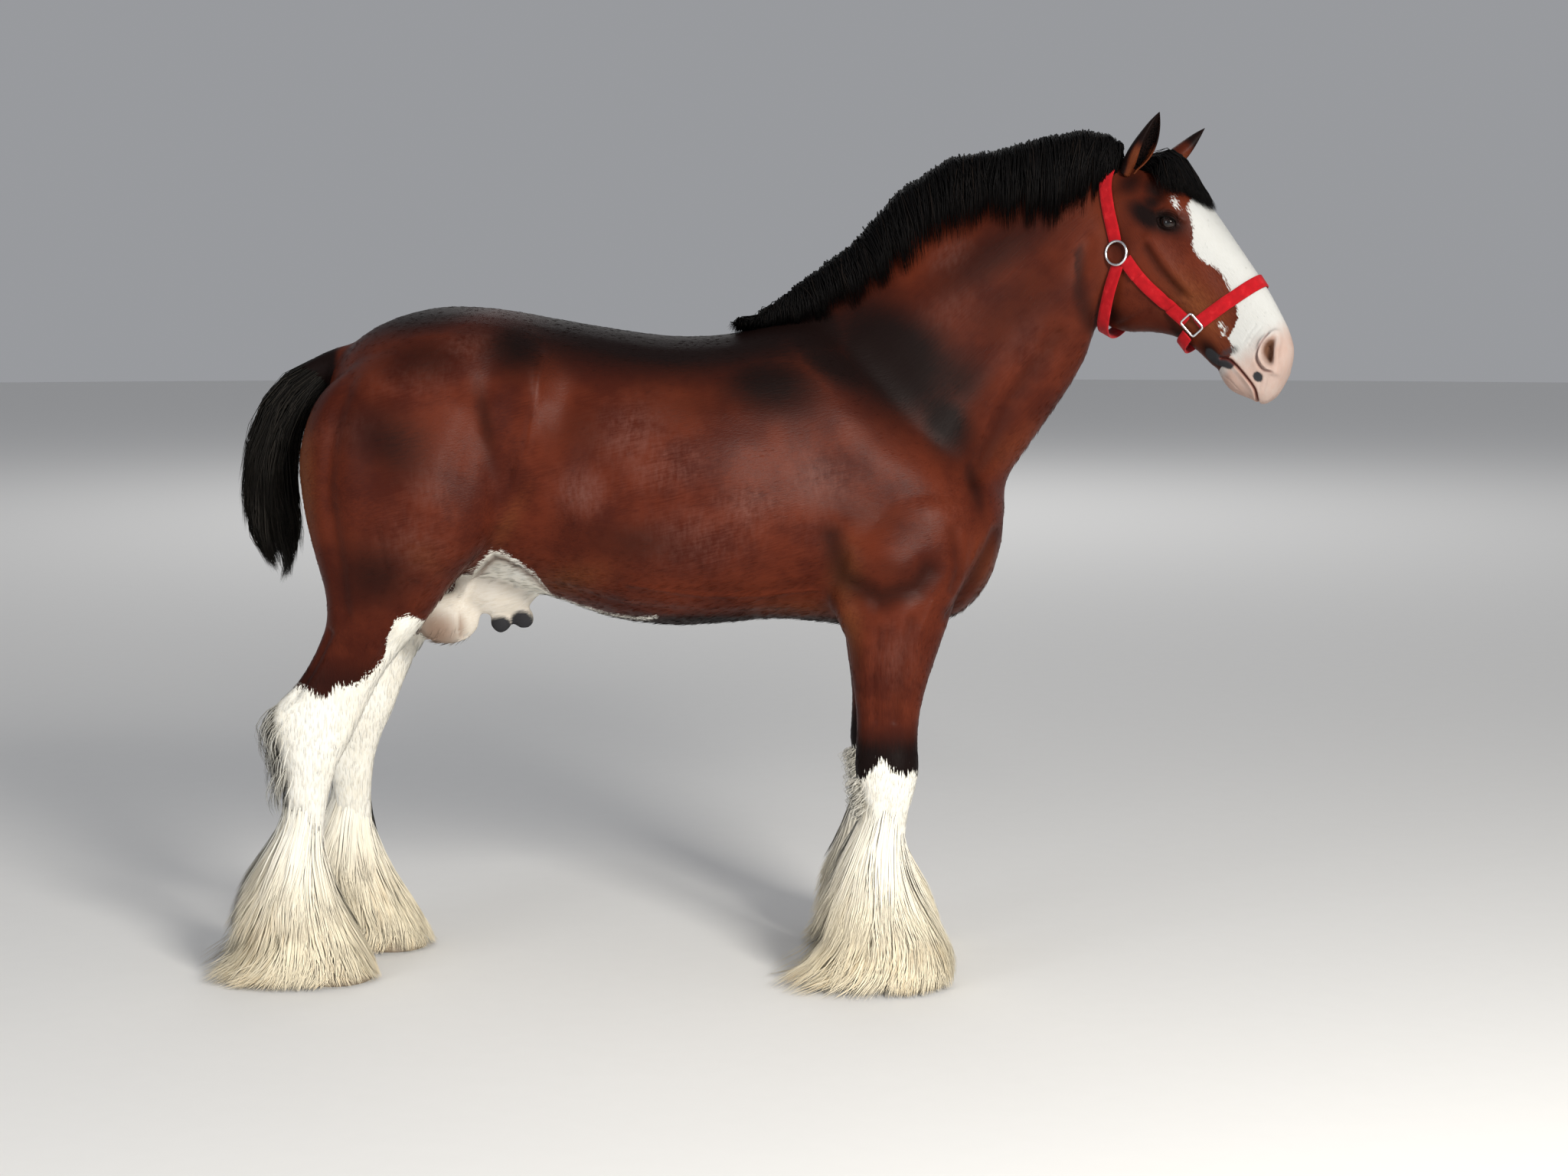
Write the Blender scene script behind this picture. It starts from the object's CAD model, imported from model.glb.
import math

import bmesh
import bpy
import numpy as np
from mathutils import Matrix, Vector
from mathutils.bvhtree import BVHTree


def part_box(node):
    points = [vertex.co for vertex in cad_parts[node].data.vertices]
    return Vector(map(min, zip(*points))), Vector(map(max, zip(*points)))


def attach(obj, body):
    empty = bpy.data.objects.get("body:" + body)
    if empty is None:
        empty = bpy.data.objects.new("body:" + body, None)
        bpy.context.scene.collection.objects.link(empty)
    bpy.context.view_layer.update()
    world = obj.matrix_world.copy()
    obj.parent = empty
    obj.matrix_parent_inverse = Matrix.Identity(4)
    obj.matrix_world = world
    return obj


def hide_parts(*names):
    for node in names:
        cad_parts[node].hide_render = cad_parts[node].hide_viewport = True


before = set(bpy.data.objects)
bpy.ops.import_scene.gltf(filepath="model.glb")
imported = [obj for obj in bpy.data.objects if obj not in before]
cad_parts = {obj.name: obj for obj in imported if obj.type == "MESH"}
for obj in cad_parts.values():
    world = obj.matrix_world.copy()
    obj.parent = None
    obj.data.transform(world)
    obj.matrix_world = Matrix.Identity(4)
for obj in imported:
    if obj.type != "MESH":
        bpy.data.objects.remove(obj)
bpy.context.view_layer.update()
dice = np.random.default_rng(5)

pose = {
    "foreHoof": (0.334, -0.24),  # middle of the right fore hoof as drawn
    "poll": (0.89, -0.085, 2.19),  # top of the head between the ears
    "headYaw": -28.0,
    "headPitch": 52.5,
    "hindReach": 0.1,  # how far the left hind foot stands ahead
}
hoofLow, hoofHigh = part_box("hoof_fore_right")
foreX, foreY = pose["foreHoof"]
toSolids = np.array(((hoofLow.x + hoofHigh.x) / 2 - foreX, (hoofLow.y + hoofHigh.y) / 2 - foreY, 0))
hands = {"right": -1, "left": 1}  # the horse's two sides, and the sign of y on each


# small tools for arrays

def unit(vectors):
    # each vector over its length
    return vectors / np.maximum(np.linalg.norm(vectors, axis=-1, keepdims=True), 1e-9)


def joined(*columns):
    # columns of numbers side by side, as points
    return np.stack(np.broadcast_arrays(*columns), -1)


def bell(distance, width):
    # e to the power of minus the square of distance over width
    return np.exp(-((distance / width) ** 2))


def ovalBell(along, across, long, wide):
    # e to the power of minus the squares of along over long and of across over wide
    return np.exp(-((along / long) ** 2) - (across / wide) ** 2)


def leaning(flat, x, z, lean):
    # how far each place is from x and z, along and across a line that leans down by so many degrees
    lean = math.radians(lean)
    gapX, gapZ = flat[:, 0] - x, flat[:, -1] - z
    return gapX * math.cos(lean) - gapZ * math.sin(lean), gapX * math.sin(lean) + gapZ * math.cos(lean)


def roundTurn(count):
    # cosines and sines of even steps once round
    angle = np.arange(count) * math.tau / count
    return np.cos(angle), np.sin(angle)


def ramp(value, low, high):
    # 0 below low, 1 above high, an S between them: 3 t squared minus 2 t cubed
    t = np.clip((value - low) / (high - low), 0, 1)
    return t * t * (3 - 2 * t)


def curveRows(rows, steps):
    # a curve through the rows, each span a cubic with the neighbours' slopes (Catmull-Rom)
    rows = np.array(rows, float)
    padded = np.vstack((2 * rows[0] - rows[1], rows, 2 * rows[-1] - rows[-2]))
    t = (np.arange(steps) / steps)[:, None]
    a, b, c, d = (padded[i : len(padded) - 3 + i][:, None, :] for i in range(4))
    spans = 0.5 * (2 * b + (c - a) * t + (2 * a - 5 * b + 4 * c - d) * t**2 + (3 * b - a - 3 * c + d) * t**3)
    return np.vstack((spans.reshape(-1, rows.shape[1]), rows[-1:]))


def readRows(rows, places, keys=None):
    # every column of the rows, read at places along keys, or along the first column
    rows = np.array(rows, float)
    return [np.interp(places, rows[:, 0] if keys is None else keys, column) for column in rows.T]


def lineDistance(points, line):
    # how far each point is from a line of corners
    line = np.array(line, float)
    nearest = np.full(len(points), np.inf)
    for start, end in zip(line, line[1:]):
        span = end - start
        along = np.clip((points - start) @ span / (span @ span), 0, 1)
        nearest = np.minimum(nearest, np.linalg.norm(points - start - along[:, None] * span, axis=1))
    return nearest


def relax(points, edges, share, rounds):
    # each point goes a share of the way to the mean of its neighbours, round after round
    ends = np.vstack((edges, edges[:, ::-1]))
    count = np.maximum(np.bincount(ends[:, 0], minlength=len(points)), 1)[:, None]
    for _ in range(rounds):
        total = np.stack([np.bincount(ends[:, 0], points[ends[:, 1], k], len(points)) for k in range(3)], 1)
        points = points + (total / count - points) * share[:, None]
    return points


def headAxes():
    yaw, pitch = math.radians(pose["headYaw"]), math.radians(pose["headPitch"])
    turn = np.array(((math.cos(yaw), -math.sin(yaw), 0), (math.sin(yaw), math.cos(yaw), 0), (0, 0, 1)))
    dip = np.array(((math.cos(pitch), 0, math.sin(pitch)), (0, 1, 0), (-math.sin(pitch), 0, math.cos(pitch))))
    return turn @ dip


headTurn = headAxes()


def fromHead(points):
    # head frame: x down the face from the poll, y to its left, z out of the forehead
    return np.asarray(points, float) @ headTurn.T + pose["poll"]


def toHead(points):
    return (points - pose["poll"]) @ headTurn


def reachAt(height, side):
    # the left hind leg steps forward below the stifle
    return np.where(side > 0, pose["hindReach"] * np.clip((1.15 - height) / 1.15, 0, 1) ** 0.8, 0)


# meshes from arrays

def addMesh(name, points, faces, finish, values=None, unwrap=None):
    # faces is a list of index arrays, each of triangles or of quads
    mesh = bpy.data.meshes.new(name)
    mesh.vertices.add(len(points))
    mesh.vertices.foreach_set("co", (points + toSolids).astype(np.float32).ravel())
    corners = np.concatenate([block.ravel() for block in faces])
    sizes = np.concatenate([np.full(len(block), block.shape[1]) for block in faces])
    mesh.loops.add(len(corners))
    mesh.loops.foreach_set("vertex_index", corners.astype(np.int32))
    mesh.polygons.add(len(sizes))
    mesh.polygons.foreach_set("loop_start", (np.cumsum(sizes) - sizes).astype(np.int32))
    mesh.polygons.foreach_set("use_smooth", np.ones(len(sizes), bool))
    mesh.update(calc_edges=True)
    for key, numbers in (values or {}).items():
        mesh.attributes.new(key, "FLOAT", "POINT").data.foreach_set("value", numbers.astype(np.float32))
    if unwrap is not None:
        layer = mesh.uv_layers.new(name="OFBake")
        layer.data.foreach_set("uv", unwrap[corners].astype(np.float32).ravel())
    mesh.validate()
    piece = bpy.data.objects.new(name, mesh)
    bpy.context.scene.collection.objects.link(piece)
    mesh.materials.append(finish)
    return piece


def gridFaces(rows, columns, closed=True):
    # quads between neighbouring points of a grid whose rows are rings (or open strips)
    across = columns if closed else columns - 1
    i, j = np.meshgrid(np.arange(rows - 1), np.arange(across), indexing="ij")
    nextJ = (j + 1) % columns
    here, below = i * columns, (i + 1) * columns
    return np.stack((here + j, here + nextJ, below + nextJ, below + j), -1).reshape(-1, 4)


def capFaces(start, columns, reverse=False):
    # a fan of triangles over one ring
    j = np.arange(1, columns - 1)
    fan = np.stack((np.full(len(j), start), start + j, start + j + 1), -1)
    return fan[:, ::-1] if reverse else fan


def facesOutward(points, faces):
    # turns a closed block of faces round where its volume comes out negative
    quads = [block[:, [0, 2, 3]] for block in faces if block.shape[1] == 4]
    triangles = np.concatenate([block[:, :3] for block in faces] + quads)
    a, b, c = (points[triangles[:, k]] - points.mean(0) for k in range(3))
    if np.einsum("ij,ij->i", a, np.cross(b, c)).sum() < 0:
        return [block[:, ::-1] for block in faces]
    return faces


def cappedTube(rings):
    # points and faces of a row of rings, closed by a fan at both ends
    rows, columns = rings.shape[:2]
    points = rings.reshape(-1, 3)
    caps = [capFaces(0, columns, True), capFaces((rows - 1) * columns, columns)]
    return points, facesOutward(points, [gridFaces(rows, columns)] + caps)


def readMesh(mesh):
    points = np.empty(len(mesh.vertices) * 3, np.float32)
    mesh.vertices.foreach_get("co", points)
    normals = np.empty(len(mesh.vertices) * 3, np.float32)
    mesh.vertices.foreach_get("normal", normals)
    edges = np.empty(len(mesh.edges) * 2, np.int32)
    mesh.edges.foreach_get("vertices", edges)
    return points.reshape(-1, 3).astype(float), normals.reshape(-1, 3).astype(float), edges.reshape(-1, 2)


def movePoints(mesh, points):
    mesh.vertices.foreach_set("co", points.astype(np.float32).ravel())
    mesh.update()


def finishPiece(piece, slot, *nodes):
    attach(piece, "root")
    if nodes:
        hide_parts(*nodes)
    return piece


# forms of the body

body = {
    # x, top, bottom, half width, level of the widest point (0 top, 1 bottom), roundness above and below
    "trunk": (
        (-1.235, 1.56, 1.38, 0.06, 0.5, 2.0, 2.0), (-1.18, 1.67, 1.27, 0.17, 0.48, 2.0, 2.0),
        (-1.08, 1.75, 1.15, 0.25, 0.45, 2.1, 2.0), (-0.93, 1.795, 1.08, 0.3, 0.42, 2.2, 2.0),
        (-0.77, 1.792, 1.05, 0.32, 0.4, 2.2, 2.0), (-0.62, 1.767, 1.01, 0.33, 0.46, 2.1, 2.1),
        (-0.46, 1.74, 0.958, 0.352, 0.54, 2.1, 2.2), (-0.3, 1.72, 0.938, 0.368, 0.58, 2.1, 2.2),
        (-0.15, 1.725, 0.945, 0.36, 0.58, 2.0, 2.2), (-0.03, 1.755, 0.955, 0.335, 0.6, 1.8, 2.2),
        (0.1, 1.775, 0.945, 0.3, 0.6, 1.7, 2.2), (0.23, 1.73, 0.932, 0.28, 0.6, 1.7, 2.2),
        (0.36, 1.62, 0.935, 0.262, 0.58, 1.8, 2.2), (0.47, 1.5, 0.965, 0.236, 0.56, 2.0, 2.2),
        (0.55, 1.4, 1.05, 0.19, 0.55, 2.0, 2.2), (0.588, 1.31, 1.16, 0.11, 0.5, 2.0, 2.0),
    ),
    # crest x and z, throat x and z, middle y, half width, level of the widest point, roundness
    "neck": (
        (-0.06, 1.74, 0.47, 1.02, 0.0, 0.22, 0.62, 1.7, 2.1), (0.06, 1.815, 0.59, 1.2, 0.0, 0.2, 0.62, 1.6, 2.1),
        (0.19, 1.905, 0.6, 1.32, -0.005, 0.172, 0.62, 1.6, 2.1),
        (0.31, 2.015, 0.66, 1.42, -0.012, 0.15, 0.62, 1.6, 2.1),
        (0.44, 2.11, 0.725, 1.515, -0.022, 0.136, 0.62, 1.6, 2.1),
        (0.56, 2.148, 0.775, 1.595, -0.035, 0.126, 0.6, 1.6, 2.1),
        (0.68, 2.175, 0.81, 1.665, -0.05, 0.118, 0.58, 1.7, 2.1),
        (0.79, 2.19, 0.83, 1.735, -0.062, 0.108, 0.56, 1.8, 2.1),
        (0.88, 2.18, 0.88, 1.8, -0.072, 0.092, 0.54, 2.0, 2.1),
    ),
    # in the head's frame: x, top, bottom, half width, level of the widest point, roundness
    "head": (
        (-0.02, -0.03, -0.12, 0.05, 0.5, 2.0, 2.0), (0.035, 0.018, -0.17, 0.08, 0.45, 2.1, 2.0),
        (0.11, 0.066, -0.225, 0.098, 0.4, 2.2, 2.0), (0.19, 0.1, -0.265, 0.108, 0.3, 2.4, 2.0),
        (0.255, 0.111, -0.29, 0.109, 0.32, 2.5, 2.0), (0.325, 0.113, -0.302, 0.098, 0.36, 2.4, 2.0),
        (0.38, 0.113, -0.265, 0.086, 0.4, 2.3, 2.0), (0.425, 0.113, -0.208, 0.077, 0.45, 2.2, 2.1),
        (0.48, 0.112, -0.16, 0.068, 0.5, 2.1, 2.1), (0.54, 0.109, -0.138, 0.06, 0.54, 2.0, 2.1),
        (0.6, 0.101, -0.128, 0.057, 0.55, 2.0, 2.2), (0.65, 0.09, -0.125, 0.06, 0.5, 2.1, 2.2),
        (0.7, 0.066, -0.112, 0.06, 0.48, 2.1, 2.2), (0.74, 0.012, -0.088, 0.048, 0.5, 2.0, 2.1),
        (0.762, -0.03, -0.075, 0.026, 0.5, 2.0, 2.0),
    ),
    # front x and z, back x and z, distance from the centre plane, half width
    "foreLeg": (
        (0.48, 1.28, 0.18, 1.28, 0.19, 0.085), (0.49, 1.13, 0.11, 1.13, 0.205, 0.1),
        (0.45, 1.01, 0.13, 1.0, 0.218, 0.102), (0.418, 0.92, 0.165, 0.915, 0.226, 0.094),
        (0.394, 0.85, 0.172, 0.85, 0.23, 0.084), (0.372, 0.785, 0.182, 0.785, 0.233, 0.074),
        (0.358, 0.71, 0.19, 0.71, 0.236, 0.064), (0.355, 0.64, 0.188, 0.635, 0.238, 0.063),
        (0.358, 0.58, 0.186, 0.575, 0.239, 0.068), (0.345, 0.515, 0.2, 0.515, 0.24, 0.058),
        (0.328, 0.45, 0.212, 0.45, 0.24, 0.046), (0.322, 0.35, 0.214, 0.35, 0.24, 0.043),
        (0.326, 0.27, 0.208, 0.26, 0.24, 0.048), (0.34, 0.215, 0.2, 0.2, 0.24, 0.058),
        (0.362, 0.155, 0.232, 0.125, 0.24, 0.056), (0.388, 0.092, 0.266, 0.05, 0.24, 0.064),
    ),
    "hindLeg": (
        (-0.74, 1.69, -1.11, 1.66, 0.13, 0.11), (-0.66, 1.56, -1.225, 1.56, 0.16, 0.155),
        (-0.65, 1.42, -1.275, 1.42, 0.175, 0.172), (-0.69, 1.28, -1.268, 1.28, 0.185, 0.165),
        (-0.79, 1.16, -1.24, 1.15, 0.19, 0.142), (-0.88, 1.06, -1.214, 1.05, 0.186, 0.116),
        (-0.945, 0.97, -1.213, 0.97, 0.18, 0.094), (-1.005, 0.9, -1.24, 0.9, 0.172, 0.076),
        (-1.058, 0.835, -1.272, 0.84, 0.166, 0.066), (-1.095, 0.77, -1.312, 0.785, 0.162, 0.062),
        (-1.122, 0.715, -1.362, 0.735, 0.16, 0.064), (-1.152, 0.655, -1.372, 0.675, 0.16, 0.066),
        (-1.182, 0.6, -1.355, 0.61, 0.162, 0.058), (-1.208, 0.53, -1.338, 0.535, 0.166, 0.048),
        (-1.226, 0.44, -1.335, 0.44, 0.172, 0.044), (-1.232, 0.34, -1.338, 0.335, 0.177, 0.044),
        (-1.222, 0.26, -1.35, 0.245, 0.181, 0.054), (-1.198, 0.195, -1.338, 0.165, 0.184, 0.056),
        (-1.168, 0.135, -1.3, 0.1, 0.185, 0.058), (-1.146, 0.09, -1.27, 0.05, 0.185, 0.064),
    ),
    "dock": ((-1.13, 1.655, 0.05), (-1.215, 1.64, 0.042), (-1.3, 1.6, 0.032), (-1.35, 1.52, 0.022)),
    # middle and radii of the forms between the hind legs
    "groin": (
        ((-0.78, 0, 1.035), (0.12, 0.06, 0.074)),
        ((-0.915, 0, 0.95), (0.09, 0.064, 0.072)),
        ((-0.771, 0, 0.942), (0.03, 0.027, 0.034)),
        ((-0.706, 0, 0.952), (0.032, 0.028, 0.032)),
    ),
    "nostril": ((0.655, 0.042, 0.028), (0.046, 0.02, 0.03)),  # middle and radii on the left, in the head's frame
    "legRoundness": 2.2,
    "voxel": 0.0066,
    "softness": 36,  # rounds of relaxing
    "triangles": 104000,  # off the head, once thinned
    # edge of the flank fold and the front of the thigh, which arches over the groin: x and z
    "arch": (
        (-0.88, 1.0), (-0.832, 1.085), (-0.79, 1.138), (-0.765, 1.16), (-0.74, 1.154), (-0.7, 1.128),
        (-0.661, 1.095), (-0.638, 1.06), (-0.615, 1.01),
    ),
}

# muscles on both sides: x, z, half length, half width, degrees the length leans down, height
muscles = {
    "gluteal": (-0.9, 1.66, 0.25, 0.11, -8, 0.022),
    "hipPoint": (-0.645, 1.6, 0.05, 0.07, 0, 0.016),
    "thigh": (-1.06, 1.38, 0.28, 0.13, 80, 0.024),
    "stifle": (-0.85, 1.22, 0.16, 0.09, 60, 0.022),
    "gaskin": (-1.12, 1.0, 0.13, 0.07, 65, 0.012),
    "gaskinFront": (-1.01, 0.96, 0.11, 0.026, 58, 0.006),
    "shoulderBlade": (0.15, 1.52, 0.3, 0.1, 55, 0.022),
    "shoulder": (0.4, 1.28, 0.17, 0.1, 60, 0.018),
    "shoulderPoint": (0.47, 1.215, 0.055, 0.045, 30, 0.008),
    "triceps": (0.21, 1.18, 0.19, 0.11, 20, 0.031),
    "tricepsLow": (0.25, 1.125, 0.12, 0.06, 8, 0.011),
    "elbow": (0.15, 1.0, 0.06, 0.05, 0, 0.012),
    "forearm": (0.32, 0.9, 0.15, 0.05, 80, 0.012),
    "forearmBack": (0.215, 0.9, 0.13, 0.026, 86, 0.006),
    "neckBand": (0.56, 1.64, 0.26, 0.055, -52, 0.01),
    "neckUpper": (0.47, 1.88, 0.24, 0.07, -34, 0.01),
    "hockPoint": (-1.35, 0.715, 0.03, 0.022, 70, 0.006),
    "hockInner": (-1.19, 0.64, 0.04, 0.03, 60, 0.004),
    "kneeBone": (0.3, 0.59, 0.036, 0.03, 90, 0.004),
}

# on both sides: height, width, line of x and z; hollows go below 0, veins and cords stand up under the skin
lines = {
    "underTriceps": (-0.015, 0.032, ((0.121, 1.203), (0.151, 1.093), (0.251, 1.043), (0.34, 1.073), (0.372, 1.113))),
    "breast": (-0.014, 0.018, ((0.56, 1.2), (0.497, 1.073), (0.437, 0.991))),
    "shoulderGroove": (-0.007, 0.013, ((0.436, 1.215), (0.453, 1.118), (0.44, 1.06))),
    "jugular": (-0.012, 0.026, ((0.72, 1.72), (0.61, 1.56), (0.54, 1.42), (0.5, 1.35))),
    "beforeBlade": (-0.005, 0.055, ((0.18, 1.74), (0.3, 1.6), (0.4, 1.45), (0.45, 1.34))),
    "beforeThigh": (-0.012, 0.046, ((-0.757, 1.64), (-0.757, 1.5), (-0.74, 1.42), (-0.7, 1.3))),
    "flank": (-0.012, 0.06, ((-0.56, 1.56), (-0.57, 1.38), (-0.6, 1.24))),
    "thighGroove": (-0.006, 0.034, ((-0.789, 1.521), (-0.84, 1.402), (-0.861, 1.283))),
    "behindThigh": (-0.012, 0.026, ((-1.12, 1.6), (-1.16, 1.48), (-1.18, 1.33), (-1.16, 1.15), (-1.148, 1.001))),
    "gaskinLine": (-0.006, 0.012, ((-0.961, 1.078), (-1.013, 0.957), (-1.075, 0.855))),
    "tendonGroove": (-0.01, 0.014, ((-1.2, 0.94), (-1.25, 0.85), (-1.3, 0.77))),
    "foreGroove": (-0.006, 0.012, ((0.33, 0.985), (0.3, 0.86), (0.29, 0.72))),
    "foreGrooveBack": (-0.005, 0.009, ((0.245, 0.96), (0.232, 0.84), (0.236, 0.72))),
    "throatFold": (-0.004, 0.022, ((0.8, 1.96), (0.772, 1.86), (0.77, 1.76))),
    "bellyCord": (-0.005, 0.012, ((-0.6, 1.06), (-0.42, 1.01), (-0.22, 0.99), (0.02, 0.985))),
    "hamString": (-0.005, 0.012, ((-1.05, 1.23), (-1.03, 1.12), (-1.06, 1.03))),
    "flankFold": (0.005, 0.012, ((-0.628, 1.66), (-0.64, 1.56), (-0.66, 1.45), (-0.7, 1.34), (-0.74, 1.24))),
    "armVein": (0.0035, 0.005, ((0.385, 1.03), (0.352, 0.95), (0.345, 0.88), (0.318, 0.8), (0.31, 0.72))),
    "armVeinB": (0.0025, 0.004, ((0.345, 0.88), (0.372, 0.83), (0.365, 0.76))),
    "breastVein": (0.0025, 0.005, ((0.505, 1.18), (0.478, 1.11), (0.47, 1.05), (0.42, 0.99))),
    "spurVein": (0.003, 0.006, ((0.09, 1.06), (-0.06, 1.04), (-0.22, 1.045), (-0.4, 1.075))),
    "thighVein": (0.0025, 0.005, ((-0.905, 1.12), (-0.96, 1.04), (-0.99, 0.96))),
    "neckVein": (0.0022, 0.005, ((0.6, 1.64), (0.56, 1.56), (0.53, 1.47), (0.52, 1.4))),
}


def ringsOf(upper, lower, half, widest, roundUpper, roundLower, side=1, points=32):
    # a ring for each row: two half superellipses that meet where the form is widest
    along, across = (values[None, :] for values in roundTurn(points))
    shape = (widest, roundUpper, roundLower)
    widest, roundUpper, roundLower = (np.broadcast_to(value, half.shape)[:, None] for value in shape)
    power = 2 / np.where(along > 0, roundUpper, roundLower)
    along, across = np.sign(along) * np.abs(along) ** power, np.sign(across) * np.abs(across) ** power
    middle = upper + (lower - upper) * widest
    reach = np.where(along[..., None] > 0, (upper - middle)[:, None, :], (middle - lower)[:, None, :])
    sideways = np.array((0, side, 0)) * (half[:, None] * across)[..., None]
    return middle[:, None, :] + reach * along[..., None] + sideways


def levelRings(rows, steps):
    # rings of a form on the middle plane, from its top and bottom
    x, top, bottom, *shape = curveRows(rows, steps).T
    return ringsOf(joined(x, 0, top), joined(x, 0, bottom), *shape)


def neckRings():
    crestX, crestZ, throatX, throatZ, y, *shape = curveRows(body["neck"], 5).T
    return ringsOf(joined(crestX, y, crestZ), joined(throatX, y, throatZ), *shape)


def legRings(leg, side):
    frontX, frontZ, backX, backZ, y, half = curveRows(body[leg], 4).T
    ahead = reachAt(frontZ, side) if leg == "hindLeg" else 0
    front, back = joined(frontX + ahead, side * y, frontZ), joined(backX + ahead, side * y, backZ)
    return ringsOf(front, back, half, 0.5, body["legRoundness"], body["legRoundness"], side)


def dockRings():
    # circles square to the dock's line
    x, z, radius = curveRows(body["dock"], 4).T
    cos, sin = roundTurn(20)
    middle = joined(x, 0, z)
    ahead = unit(np.gradient(middle, axis=0))
    up = joined(-ahead[:, 2], 0, ahead[:, 0])
    ring = up[:, None, :] * cos[None, :, None] + np.array((0, 1, 0)) * sin[None, :, None]
    return middle[:, None, :] + ring * radius[:, None, None]


def ballRings(middle, radii):
    # a sphere stretched to three radii, ring by ring from pole to pole
    polar = np.linspace(0.05, math.pi - 0.05, 14)
    cos, sin = roundTurn(20)
    ring = joined(np.outer(np.sin(polar), cos), np.outer(np.sin(polar), sin), np.cos(polar)[:, None])
    return np.array(middle) + ring * np.array(radii)


def meltBody():
    # all the forms, to become one closed skin of voxels
    forms = [levelRings(body["trunk"], 4), neckRings(), fromHead(levelRings(body["head"], 5)), dockRings()]
    (x, y, z), radii = body["nostril"]
    for side in hands.values():
        forms += [legRings("foreLeg", side), legRings("hindLeg", side)]
        forms.append(fromHead(ballRings((x, side * y, z), radii)))
    forms += [ballRings(middle, radii) for middle, radii in body["groin"]]
    shape = bmesh.new()
    for rings in forms:
        rows = [[shape.verts.new(point) for point in ring] for ring in rings.tolist()]
        faces = [shape.faces.new(rows[0][::-1]), shape.faces.new(rows[-1])]
        for near, far in zip(rows, rows[1:]):
            faces += [shape.faces.new((near[i - 1], near[i], far[i], far[i - 1])) for i in range(len(near))]
        bmesh.ops.recalc_face_normals(shape, faces=faces)
    mesh = bpy.data.meshes.new("melt")
    shape.to_mesh(mesh)
    shape.free()
    melt = bpy.data.objects.new("melt", mesh)
    bpy.context.scene.collection.objects.link(melt)
    voxels = melt.modifiers.new("voxels", "REMESH")
    voxels.mode = "VOXEL"
    voxels.voxel_size = body["voxel"]
    return melt


def bakeModifiers(piece):
    mesh = bpy.data.meshes.new_from_object(piece.evaluated_get(bpy.context.evaluated_depsgraph_get()))
    piece.modifiers.clear()
    piece.data = mesh
    return mesh


def softShare(points):
    # how strongly a place is relaxed: fully on the trunk, least on the face and the lower legs
    head = toHead(points)
    onHead = ramp(head[:, 0], 0.02, 0.16) * ramp(points[:, 0], 0.78, 0.92) * ramp(points[:, 2], 1.4, 1.5)
    onLeg = 1 - ramp(points[:, 2], 0.62, 0.95)
    groin = np.exp(-(((points - (-0.76, 0, 0.945)) / (0.11, 0.08, 0.06)) ** 2).sum(1))
    return 0.5 * (1 - 0.82 * onHead) * (1 - 0.7 * onLeg) * (1 - 0.85 * groin)


def underArch(points):
    # how far below the arch over the groin a place is
    x, y, z = points.T
    x = x - reachAt(z, 1) * (y > 0.08)
    low = np.interp(x, *np.array(body["arch"]).T, left=0, right=0) - z
    return np.where((np.abs(y) < 0.32) & (z > 0.9) & (x > -0.88) & (x < -0.61), low, -1.0)


def sculptBody(points, normals):
    # muscles as bells leaning along their length, hollows and veins as bells across their lines
    raised = np.zeros(len(points))
    flat = points[:, [0, 2]]
    for x, z, halfLength, halfWidth, lean, height in muscles.values():
        raised += height * ovalBell(*leaning(flat, x, z, lean), halfLength, halfWidth)
    for height, width, line in lines.values():
        raised += height * bell(lineDistance(flat, line), width)
    onBody = 1 - ramp(toHead(points)[:, 0], 0.1, 0.2) * ramp(points[:, 0], 0.8, 0.9)
    raised *= np.clip(np.abs(normals[:, 1]) * 1.4, 0, 1) * onBody
    shaped = points + normals * (raised - 0.0015)[:, None]
    shaped[:, 1] *= 1 - 0.34 * ramp(underArch(points), 0.0, 0.03)
    return shaped


# the face, in the head's frame

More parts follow.
